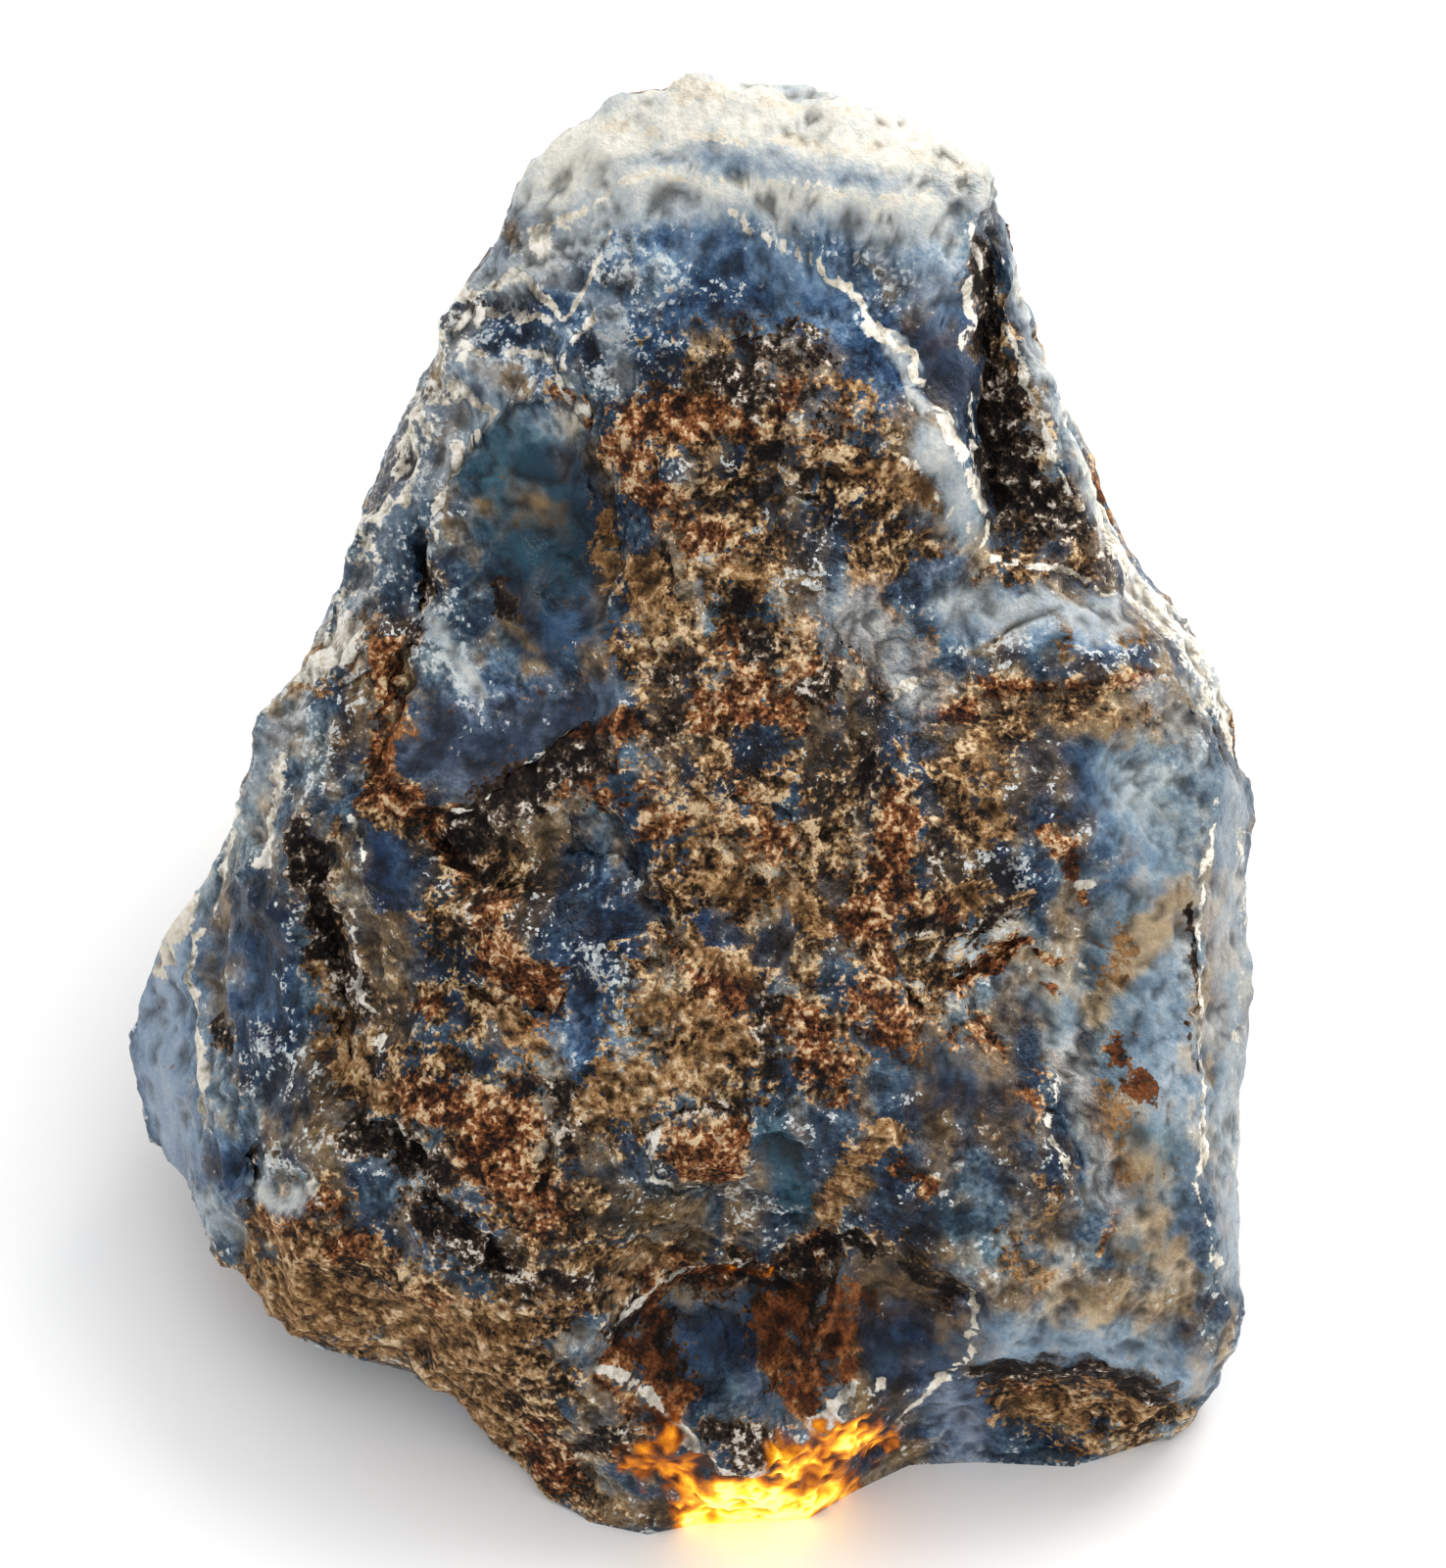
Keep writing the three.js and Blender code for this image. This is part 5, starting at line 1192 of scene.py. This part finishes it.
def facet_surface(surface, rough):
    """Breaks the surface into facets and terraces. Gives the facets' tone and kind from 0 to
    1, and the distance from the nearest rim in millimetres."""
    broad, tone, kind, rim = tilted_facets(surface.points, *BROAD_FACETS)
    small, small_tone, small_kind, small_rim = tilted_facets(surface.points, *SMALL_FACETS)
    surface.shift(SWELL)
    surface.shift(rough * BROAD_RELIEF * broad)
    surface.shift(rough * SMALL_RELIEF * small)
    surface.shift(rough * TERRACE_RELIEF * terraces(surface.points, *TERRACES))
    return {
        "tone": 0.5 * tone + 0.5 * small_tone,
        "kind": 0.5 * kind + 0.5 * small_kind,
        "rim": np.minimum(BROAD_FACETS[0] * rim, SMALL_FACETS[0] * small_rim),
    }


def strike_surface(surface, rims, rough, crust):
    """Strikes off the broad flakes, then small scars, most of them behind the front, and then
    chips along the sharp edges that no crust covers."""
    strike_flakes(surface, rims)
    surface.shift(surface.front * ripple_shift(surface), PROUD)
    scarred = rough * (SCARS_BEHIND - surface.front)
    carve_scars(surface, rims, scarred, SCAR_SEED, **FACE_SCARS)
    sharp = np.clip(surface.neighbour_mean(surface.bend()), 0.0, SHARP_MOST) + SHARP_LEAST
    chipped = sharp * (CHIPS_OFF_CRUST - crust) * rough
    carve_scars(surface, rims, chipped, SCAR_SEED + 1, **EDGE_CHIPS)


def lump_finishes(surface, crust, amber_glow):
    """Lumps and pits in the crust, and lumps in the amber."""
    surface.shift(crust * CRUST_RELIEF * (lumps(surface.points, *CRUST_LUMPS) - LUMP_MIDDLE))
    pits = smooth_step(noise(surface.points, *CRUST_PITS), *PIT_LEVELS)
    surface.shift(-crust * PIT_DEPTH * pits)
    surface.shift(amber_glow * AMBER_RELIEF * (lumps(surface.points, *AMBER_LUMPS) - LUMP_MIDDLE))


def shape_stone(surface):
    """Gives the surface its relief. Returns where each finish and the crust lie, and the
    facets."""
    surface.relax()
    surface.shift(surface.front * ledge_shift(surface), PROUD)
    surface.shift(surface.front * crest_shift(surface), PROUD)
    rims = rim_warp(surface.points)
    cover = {name: finish_cover(surface, name) + back_cover(surface, name) for name in FINISHES}
    crust = crust_cover(cover)
    rough = 1.0 - GLASSY_CALM * np.clip(cover["glassy"], 0.0, 1.0)
    facets = facet_surface(surface, rough)
    strike_surface(surface, rims, rough, crust)
    lump_finishes(surface, crust, cover["amber_glow"])
    return cover, crust, facets


# ---- Painting -------------------------------------------------------------------------------

PAINTED_FINISHES = ("cream", "pale", "tan", "rust", "umber_and_shadow", "azure", "slate", "green", "amber_glow",
                    "glassy", "frost")
# Smoky stain: its streaks' stretch, size and seed, where it starts and is whole, its
# strength, and how much of it each clear finish keeps off.
STAIN_STRETCH = np.array([1.0, 0.3, 0.5])
STAIN_CLOUD = (2.6, 340, 4, 0.5)
STAIN_LEVELS = (-0.5, 0.6)
STAIN_STRENGTH = 0.75
STAIN_OFF = {"azure": 1.0, "slate": 1.0, "green": 0.8, "glassy": 0.5}
# The opal's shade, from dark at 0 to light at 1, and what moves it.
SHADE_MIDDLE = 0.47
SHADE_CLOUD = (7.0, 300, 3)
SHADE_CLOUD_GAIN = 0.36
SHADE_WISPS = (2.2, 310, 4, 0.6)
SHADE_WISPS_GAIN = 0.16
SHADE_FACETS_GAIN = 0.34
SHADE_MILK = 0.36
SHADE_DEEP = 0.26
SHADE_CALM = 0.75
MOTTLE_CLOUD = (1.5, 330, 4, 0.6)
MOTTLE_GAIN = 0.9
# Bends, in millimetres: a point's own share of the bend, what is fully worn, and what is fully in
# painted shade.
BEND_OWN = 0.6
BEND_WORN = 0.05
BEND_SHADED = 0.04


def smoky_stain(surface, cover):
    """Olive bands, and a stain in streaks that run up the stone, off the clear opal."""
    clear = np.maximum.reduce([share * cover[name] for name, share in STAIN_OFF.items()])
    streaks = cloud(surface.points * STAIN_STRETCH, *STAIN_CLOUD)
    stain = smooth_step(streaks, *STAIN_LEVELS) * (1.0 - clear)
    return np.maximum(cover["olive"], STAIN_STRENGTH * stain)


def opal_shade(surface, cover, facets):
    """How light the opal is: cloudy, with a tone for each facet, and calm where it is glassy."""
    unrest = 1.0 - SHADE_CALM * cover["glassy"]
    shade = SHADE_MIDDLE + unrest * SHADE_CLOUD_GAIN * cloud(surface.points, *SHADE_CLOUD)
    shade += unrest * SHADE_WISPS_GAIN * cloud(surface.points, *SHADE_WISPS)
    shade += SHADE_FACETS_GAIN * (facets["tone"] - 0.5) * unrest
    shade += SHADE_MILK * cover["milk"] - SHADE_DEEP * cover["deep"]
    return shade


def paint_finishes(surface, cover, crust, facets):
    """Writes each finish's cover, the opal's shade, wear, and painted shade in hollows, as
    attributes.
    """
    bend = surface.bend()
    bend = BEND_OWN * bend + (1.0 - BEND_OWN) * surface.neighbour_mean(bend)
    mottle = 0.5 + MOTTLE_GAIN * cloud(surface.points, *MOTTLE_CLOUD)
    painted = {name: cover[name] for name in PAINTED_FINISHES}
    painted.update(facets)
    painted["olive"] = smoky_stain(surface, cover)
    painted["crust"] = crust
    painted["mottle"] = np.clip(mottle, 0.0, 1.0)
    painted["shade"] = np.clip(opal_shade(surface, cover, facets), 0.0, 1.0)
    painted["worn"] = np.clip(bend / BEND_WORN, 0.0, 1.0)
    # Painted shade: the surface is darkened where it bends in, in hollows and creases.
    painted["hollow_shade"] = np.clip(-bend / BEND_SHADED, 0.0, 1.0)
    for name, values in painted.items():
        surface.paint(name, values)


# ---- Nodes ----------------------------------------------------------------------------------

def srgb(code):
    """A linear colour from a hex code."""
    values = [int(code[i:i + 2], 16) / 255 for i in (0, 2, 4)]
    linear = [v / 12.92 if v <= 0.04045 else ((v + 0.055) / 1.055) ** 2.4 for v in values]
    return (*linear, 1.0)


class Graph:
    """A short way to write a node tree: each call adds a node and gives back its output."""

    def __init__(self, name):
        self.material = bpy.data.materials.new(name)
        self.material.use_nodes = True
        self.tree = self.material.node_tree
        self.tree.nodes.clear()

    def put(self, socket, value):
        if isinstance(value, bpy.types.NodeSocket):
            self.tree.links.new(value, socket)
        else:
            socket.default_value = value

    def node(self, kind, inputs=(), **settings):
        made = self.tree.nodes.new(kind)
        for key, value in settings.items():
            setattr(made, key, value)
        for key, value in dict(inputs).items():
            self.put(made.inputs[key], value)
        return made

    def math(self, operation, a, b=0.0, c=0.0):
        made = self.node("ShaderNodeMath", {0: a, 1: b, 2: c}, operation=operation)
        return made.outputs[0]

    def times(self, a, b):
        return self.math("MULTIPLY", a, b)

    def total(self, values, weights):
        """The sum of the named values, each times its weight."""
        added = 0.0
        for name, weight in weights.items():
            added = self.math("MULTIPLY_ADD", values[name], weight, added)
        return added

    def step(self, value, low, high):
        made = self.node("ShaderNodeMapRange", {"Value": value, "From Min": low, "From Max": high},
                         interpolation_type="SMOOTHSTEP")
        return made.outputs[0]

    def spread(self, value, low, high):
        """Stretches a range of values to run from 0 to 1."""
        made = self.node("ShaderNodeMapRange", {"Value": value, "From Min": low, "From Max": high})
        return made.outputs[0]

    def mix(self, share, a, b):
        made = self.node("ShaderNodeMix", {0: share, 6: a, 7: b}, data_type="RGBA")
        return made.outputs[2]

    def blend(self, share, a, b):
        made = self.node("ShaderNodeMix", {0: share, 2: a, 3: b}, data_type="FLOAT")
        return made.outputs[0]

    def ramp(self, value, shades):
        made = self.node("ShaderNodeValToRGB", {0: value})
        ramp = made.color_ramp
        while len(ramp.elements) < len(shades):
            ramp.elements.new(0.5)
        for element, (place, code) in zip(ramp.elements, shades):
            element.position = place
            element.color = srgb(code)
        return made.outputs[0]

    def painted(self, name):
        return self.node("ShaderNodeAttribute", attribute_name=name).outputs["Fac"]


# ---- The opal's material ----------------------------------------------------------------------

# Each finish from its darkest to its lightest.
SHADES = {
    "opal": [(0.02, "080e17"), (0.22, "17263a"), (0.44, "35495c"), (0.68, "6a7d89"),
             (0.97, "b7bfbe")],
    "azure": [(0.02, "091222"), (0.22, "182e4b"), (0.44, "385679"), (0.68, "7290ae"),
              (0.97, "bfcddb")],
    "slate": [(0.05, "121721"), (0.35, "303b4e"), (0.60, "5c6b82"), (0.90, "a8b5c6")],
    "green": [(0.05, "0b181d"), (0.40, "1f424f"), (0.68, "426b7b"), (0.95, "8caab2")],
    "olive": [(0.05, "1f170a"), (0.35, "554022"), (0.60, "8c7048"), (0.90, "c0a987")],
    "crust": [(0.12, "0a0806"), (0.32, "2a1d12"), (0.50, "5d4229"), (0.68, "957048"),
              (0.92, "d8bc94")],
    "rust": [(0.12, "110906"), (0.32, "3c2113"), (0.52, "713e20"), (0.72, "a46c41"),
             (0.94, "dfc29a")],
    "tan": [(0.06, "1b120b"), (0.28, "563a21"), (0.50, "8a653e"), (0.74, "b89369"),
            (0.98, "e3cdab")],
    "umber_and_shadow": [(0.20, "070504"), (0.50, "201813"), (0.70, "43352a"), (0.86, "7b6c5c"),
              (0.98, "dcd2c6")],
    "cream": [(0.10, "6d6351"), (0.34, "a89d88"), (0.58, "d0c7b5"), (0.85, "efeadf")],
    "pale": [(0.10, "536271"), (0.34, "8696a3"), (0.54, "b1b7b8"), (0.72, "dad7ca"),
             (0.92, "f1eee5")],
    "amber_glow": [(0.12, "3a1a06"), (0.32, "8a440a"), (0.52, "cc7711"), (0.70, "f5ae26"),
              (0.92, "ffe977")],
}
FLECK_WHITE = srgb("d9dedd")
# The near-black that the painted shade in hollows darkens towards.
HOLLOW_SHADE_COLOUR = srgb("0c0908")

PAINTED_GRAIN = ("mottle", "tone", "kind", "rim", "hollow_shade", "frost", "glassy", "pale", "amber_glow")
# Grain: how many fine grains and specks there are to a millimetre, the fine grain's detail and
# range, and how much of the grain a glassy place loses.
FINE_PER_MM = 2.6
FINE_DETAIL = 2.5
FINE_ROUGHNESS = 0.65
FINE_RANGE = (0.30, 0.70)
SPECKS_PER_MM = 5.2
GLASSY_SMOOTH = 0.8
# A facet's rim is worn this near to it, in millimetres, fully and no more, and this much.
RIM_WIDTH = (0.02, 0.16)
RIM_WEAR = 0.9

# How a finish's edge breaks up: the grain's reach, and the cover where it starts and is whole.
BROKEN_EDGES = {
    "olive": (0.5, 0.1, 0.9),
    "crust": (1.5, 0.40, 0.56),
    "tan": (1.5, 0.42, 0.58),
    "rust": (1.5, 0.35, 0.8),
    "umber_and_shadow": (1.2, 0.35, 0.7),
    "cream": (0.8, 0.42, 0.58),
    "pale": (0.3, 0.1, 0.8),
    "amber_glow": (0.16, 0.10, 0.40),
}
EDGE_GRAIN = {"fine": 0.30, "salt": 0.20, "kind": 0.50}

# The opal: how its grain moves its shade, how much of each tint and of the smoky olive shows
# at most, and how much lighter the olive is.
OPAL_UNREST = {"fine": 0.34, "mottle": 0.16, "pepper": 0.12}
OPAL_UNREST_MIDDLE = 0.31
OPAL_TINTS = {"azure": 0.9, "slate": 0.95, "green": 0.85}
OLIVE_SHARE = 0.88
OLIVE_LIFT = 0.08
# Frosty specks: what brings them, what holds them back, and how faint and strong they are.
SPECK_CAUSES = {"frost": 0.50, "worn": 0.42, "fine": 0.60, "mottle": 0.45, "glassy": -0.55}
SPECK_SCATTER = 0.75
SPECK_LEVEL = 0.78
SPECK_EDGE = 0.06
SPECK_SHARES = (0.35, 0.95)
# The crust's light and dark, the calmer one of its tan and cream, and how much lighter the
# cream is.
CRUST_SPICE = {"fine": 0.58, "pepper": 0.46, "tone": 0.34, "mottle": 0.26, "worn": 0.36}
CRUST_SPICE_MIDDLE = 0.80
CRUST_SHADE = 0.415
CALM_GAIN = 0.76
CALM_SHADE = 0.12
CREAM_LIFT = 0.14
# What makes the pale top and the amber lighter or darker, how painted shade in the hollows
# darkens them all, and how strongly the amber's painted glow shines.
PALE_MIX = {"pale": 0.54, "mottle": 0.10, "fine": 0.12, "tone": 0.12, "laid cream": 0.12}
HOLLOW_SHADE_COVER = 0.9
HOLLOW_SHADE_DARKENS = 0.8
AMBER_MIX = {"fine": 0.09, "mottle": 0.14, "pepper": 0.04, "amber_glow": 0.78, "hollow_shade": -0.4}
AMBER_GLOW = 1.7
# Roughness of the opal, least and most, and of dry crust, how much the pale top takes off the
# dryness, and how dry the cream is.
OPAL_ROUGHNESS = (0.16, 0.36)
DRY_ROUGHNESS = 0.8
PALE_MOIST = 0.7
CREAM_DRY = 0.9
# Relief of the fine grain: its strength, its height in millimetres and its share on bare opal.
GRAIN_STRENGTH = 0.9
GRAIN_HEIGHT = 0.24
GRAIN_ON_OPAL = 0.25
OPAL_IOR = 1.45
OPAL_SPECULAR = 0.18


def grains(graph):
    """What every finish draws on: grain in the stone, what its surface is painted with, and the
    broken cover of the crust, the pale top and the cream edges."""
    place = graph.node("ShaderNodeTexCoord").outputs["Object"]
    where = graph.node("ShaderNodeMapping", {"Vector": place, "Scale": (1 / MM,) * 3}).outputs[0]
    fine = graph.node("ShaderNodeTexNoise", {
        "Vector": where, "Scale": FINE_PER_MM, "Detail": FINE_DETAIL,
        "Roughness": FINE_ROUGHNESS})
    specks = graph.node("ShaderNodeTexVoronoi", {"Vector": where, "Scale": SPECKS_PER_MM})
    split = graph.node("ShaderNodeSeparateColor", {0: specks.outputs["Color"]})
    grain = {name: graph.painted(name) for name in PAINTED_GRAIN}
    grain["fine"] = graph.spread(fine.outputs[0], *FINE_RANGE)
    grain["salt"] = split.outputs[0]
    grain["pepper"] = split.outputs[1]
    grain["smooth"] = graph.math("SUBTRACT", 1.0, graph.times(grain["glassy"], GLASSY_SMOOTH))
    rim = graph.step(grain["rim"], RIM_WIDTH[1], RIM_WIDTH[0])
    rim_wear = graph.times(rim, graph.times(grain["mottle"], RIM_WEAR))
    grain["worn"] = graph.math("MAXIMUM", graph.painted("worn"), rim_wear)
    grain["edge"] = graph.total(grain, EDGE_GRAIN)
    for cover, name in (("laid crust", "crust"), ("laid pale", "pale"), ("laid cream", "cream")):
        grain[cover] = broken(graph, name, grain["edge"])
    return grain


def broken(graph, name, grain):
    """A finish's cover with its edge broken by a grain that runs from 0 to 1."""
    reach, low, high = BROKEN_EDGES[name]
    offset = graph.times(graph.math("SUBTRACT", grain, 0.5), reach)
    return graph.step(graph.math("ADD", graph.painted(name), offset), low, high)


def opal_colour(graph, grain):
    """Blue opal with its tints, its smoky bands and frosty specks."""
    unrest = graph.math("SUBTRACT", graph.total(grain, OPAL_UNREST), OPAL_UNREST_MIDDLE)
    shade = graph.math("ADD", graph.painted("shade"), graph.times(unrest, grain["smooth"]))
    opal = graph.ramp(shade, SHADES["opal"])
    for name, share in OPAL_TINTS.items():
        tint = graph.ramp(shade, SHADES[name])
        opal = graph.mix(graph.times(graph.painted(name), share), opal, tint)
    smoky = graph.ramp(graph.math("ADD", shade, OLIVE_LIFT), SHADES["olive"])
    olive = graph.times(broken(graph, "olive", grain["mottle"]), OLIVE_SHARE)
    opal = graph.mix(olive, opal, smoky)
    level = graph.math("MULTIPLY_ADD", grain["pepper"], SPECK_SCATTER, SPECK_LEVEL)
    above = graph.math("SUBTRACT", graph.total(grain, SPECK_CAUSES), level)
    strength = graph.blend(grain["salt"], *SPECK_SHARES)
    frost = graph.times(graph.step(above, 0.0, SPECK_EDGE), strength)
    return graph.mix(frost, opal, FLECK_WHITE)


def crust_colour(graph, grain, spice, calm):
    """Brown crust with its tan, rust and dark brown patches, some of them painted shadow."""
    crust = graph.ramp(spice, SHADES["crust"])
    for name, shade in (("tan", calm), ("rust", spice), ("umber_and_shadow", spice)):
        patch = graph.ramp(shade, SHADES[name])
        crust = graph.mix(broken(graph, name, grain["edge"]), crust, patch)
    return crust


def stone_colour(graph, grain, amber_glow):
    """Opal and crust, then the pale top, cream edges, painted hollow shade and painted amber glow.
    """
    spice = graph.math("SUBTRACT", graph.total(grain, CRUST_SPICE), CRUST_SPICE_MIDDLE)
    spice = graph.math("MULTIPLY_ADD", spice, grain["smooth"], CRUST_SHADE)
    calm = graph.math("MULTIPLY_ADD", spice, CALM_GAIN, CALM_SHADE)
    crust = crust_colour(graph, grain, spice, calm)
    colour = graph.mix(grain["laid crust"], opal_colour(graph, grain), crust)
    milky = graph.ramp(graph.total(grain, PALE_MIX), SHADES["pale"])
    colour = graph.mix(grain["laid pale"], colour, milky)
    bruised = graph.ramp(graph.math("ADD", calm, CREAM_LIFT), SHADES["cream"])
    colour = graph.mix(grain["laid cream"], colour, bruised)
    # Painted shade in the hollows and creases.
    shaded = graph.mix(HOLLOW_SHADE_DARKENS, colour, HOLLOW_SHADE_COLOUR)
    colour = graph.mix(graph.times(grain["hollow_shade"], HOLLOW_SHADE_COVER), colour, shaded)
    return graph.mix(broken(graph, "amber_glow", grain["fine"]), colour, amber_glow)


def stone_roughness(graph, grain):
    """Glossy where the opal is bare, matt where crust or cream is dry."""
    moist = graph.math("SUBTRACT", 1.0, graph.times(grain["laid pale"], PALE_MOIST))
    crust_dry = graph.times(grain["laid crust"], moist)
    dry = graph.math("MAXIMUM", crust_dry, graph.times(grain["laid cream"], CREAM_DRY))
    return graph.blend(dry, graph.blend(grain["fine"], *OPAL_ROUGHNESS), DRY_ROUGHNESS)


def grain_relief(graph, grain):
    """The fine grain's own relief, fainter on bare opal."""
    share = graph.blend(graph.painted("crust"), GRAIN_ON_OPAL, 1.0)
    bump = graph.node("ShaderNodeBump", {
        "Strength": GRAIN_STRENGTH, "Distance": GRAIN_HEIGHT * MM,
        "Height": graph.times(grain["fine"], share)})
    return bump.outputs[0]


def opal_material():
    """Blue opal under its weathered finishes, with a painted glow on the amber patch."""
    graph = Graph("opal_rough")
    grain = grains(graph)
    glow_cover = grain["amber_glow"]
    # The amber's colour, made bright yellow with painted light from behind, also serves as its
    # painted glow.
    amber_glow = graph.ramp(graph.total(grain, AMBER_MIX), SHADES["amber_glow"])
    shader = graph.node("ShaderNodeBsdfPrincipled", {
        "Base Color": stone_colour(graph, grain, amber_glow),
        "Roughness": stone_roughness(graph, grain),
        "Normal": grain_relief(graph, grain),
        "Emission Color": amber_glow,
        "Emission Strength": graph.times(graph.times(glow_cover, glow_cover), AMBER_GLOW),
        "IOR": OPAL_IOR, "Specular IOR Level": OPAL_SPECULAR})
    graph.node("ShaderNodeOutputMaterial", {"Surface": shader.outputs[0]})
    # The amber's painted glow is too faint a light to be worth aiming rays at, so rays only chance
    # on it.
    graph.material.cycles.emission_sampling = "NONE"
    return graph.material


# ---- The stone -------------------------------------------------------------------------------

CREASE = math.radians(32)


def make_stone():
    """The dressed stone, which stands for the plain solid."""
    mesh = fine_copy(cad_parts["opal"])
    surface = Surface(mesh)
    cover, crust, facets = shape_stone(surface)
    surface.write()
    paint_finishes(surface, cover, crust, facets)
    mesh.polygons.foreach_set("use_smooth", [True] * len(mesh.polygons))
    mesh.set_sharp_from_angle(angle=CREASE)
    mesh.materials.clear()
    mesh.materials.append(opal_material())
    stone = bpy.data.objects.new("opal_stone", mesh)
    bpy.context.scene.collection.objects.link(stone)
    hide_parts("opal")
    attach(stone, "root")


# ---- Stage ----------------------------------------------------------------------------------

# The stage is in metres.
FLOOR_SIDE = 3.0
FLOOR_WHITE = (0.93, 0.93, 0.93, 1.0)
FLOOR_ROUGHNESS = 0.8
FLOOR_SPECULAR = 0.1

# The studio's white is dim on one side and bright on the side that it looks towards.
SKY_WHITE = (0.985, 0.99, 1.0, 1.0)
SKY_TOWARDS = Vector((0.45, 0.45, 0.77))
SKY_RANGE = (-0.6, 1.0)
SKY_DIM = 0.55
SKY_BRIGHT = 1.35

LAMP_PLACE = Vector((0.24, 0.22, 0.42))
LAMP_TARGET = Vector((0.0, 0.0, 0.025))
LAMP_SIDE = 0.30
LAMP_POWER = 1.6
LAMP_WHITE = (1.0, 0.98, 0.95)

# The camera looks square at the front: its lens and sensor, how tall its view is at the stone,
# and the place it looks at, in the leaning frame. All are in millimetres.
LENS = 400.0
SENSOR = 36.0
VIEW_HEIGHT = 80.0
VIEW_CENTRE = (0.0, 38.0, 8.0)
# The nearest and farthest that it sees, in metres.
NEAREST_SEEN = 0.01
FARTHEST_SEEN = 20.0


def make_floor():
    """A plain matt floor under the stone."""
    half = FLOOR_SIDE / 2
    mesh = bpy.data.meshes.new("floor")
    corners = [(-half, -half, 0), (half, -half, 0), (half, half, 0), (-half, half, 0)]
    mesh.from_pydata(corners, [], [(0, 1, 2, 3)])
    floor = bpy.data.objects.new("floor", mesh)
    bpy.context.scene.collection.objects.link(floor)
    graph = Graph("floor_white")
    shader = graph.node("ShaderNodeBsdfPrincipled", {
        "Base Color": FLOOR_WHITE, "Roughness": FLOOR_ROUGHNESS,
        "Specular IOR Level": FLOOR_SPECULAR})
    graph.node("ShaderNodeOutputMaterial", {"Surface": shader.outputs[0]})
    mesh.materials.append(graph.material)


def light_studio():
    """A white studio, brighter above and behind on the right."""
    world = bpy.data.worlds.new("studio")
    world.use_nodes = True
    tree = world.node_tree
    way = tree.nodes.new("ShaderNodeTexCoord")
    along = tree.nodes.new("ShaderNodeVectorMath")
    along.operation = "DOT_PRODUCT"
    along.inputs[1].default_value = SKY_TOWARDS
    level = tree.nodes.new("ShaderNodeMapRange")
    level.inputs["From Min"].default_value = SKY_RANGE[0]
    level.inputs["From Max"].default_value = SKY_RANGE[1]
    level.inputs["To Min"].default_value = SKY_DIM
    level.inputs["To Max"].default_value = SKY_BRIGHT
    tree.links.new(way.outputs["Generated"], along.inputs[0])
    tree.links.new(along.outputs["Value"], level.inputs["Value"])
    background = tree.nodes["Background"]
    background.inputs["Color"].default_value = SKY_WHITE
    tree.links.new(level.outputs[0], background.inputs["Strength"])
    bpy.context.scene.world = world


def add_lamp():
    """One soft square lamp above and behind on the right."""
    data = bpy.data.lights.new("lamp_above", "AREA")
    data.shape = "SQUARE"
    data.size = LAMP_SIDE
    data.energy = LAMP_POWER
    data.color = LAMP_WHITE
    lamp = bpy.data.objects.new("lamp_above", data)
    lamp.location = LAMP_PLACE
    lamp.rotation_euler = (LAMP_TARGET - LAMP_PLACE).to_track_quat("-Z", "Y").to_euler()
    bpy.context.scene.collection.objects.link(lamp)


def place_camera():
    """A long lens square to the leaning front."""
    data = bpy.data.cameras.new("camera")
    data.lens = LENS
    data.sensor_width = SENSOR
    data.clip_start = NEAREST_SEEN
    data.clip_end = FARTHEST_SEEN
    camera = bpy.data.objects.new("camera", data)
    target = Vector(from_face(VIEW_CENTRE))
    out = Vector(PROUD @ AXES)
    camera.location = target + out * (LENS / SENSOR * VIEW_HEIGHT * MM)
    camera.rotation_euler = (-out).to_track_quat("-Z", "Y").to_euler()
    bpy.context.scene.collection.objects.link(camera)
    bpy.context.scene.camera = camera


make_stone()
make_floor()
light_studio()
add_lamp()
place_camera()
bpy.context.scene.view_settings.view_transform = "Standard"
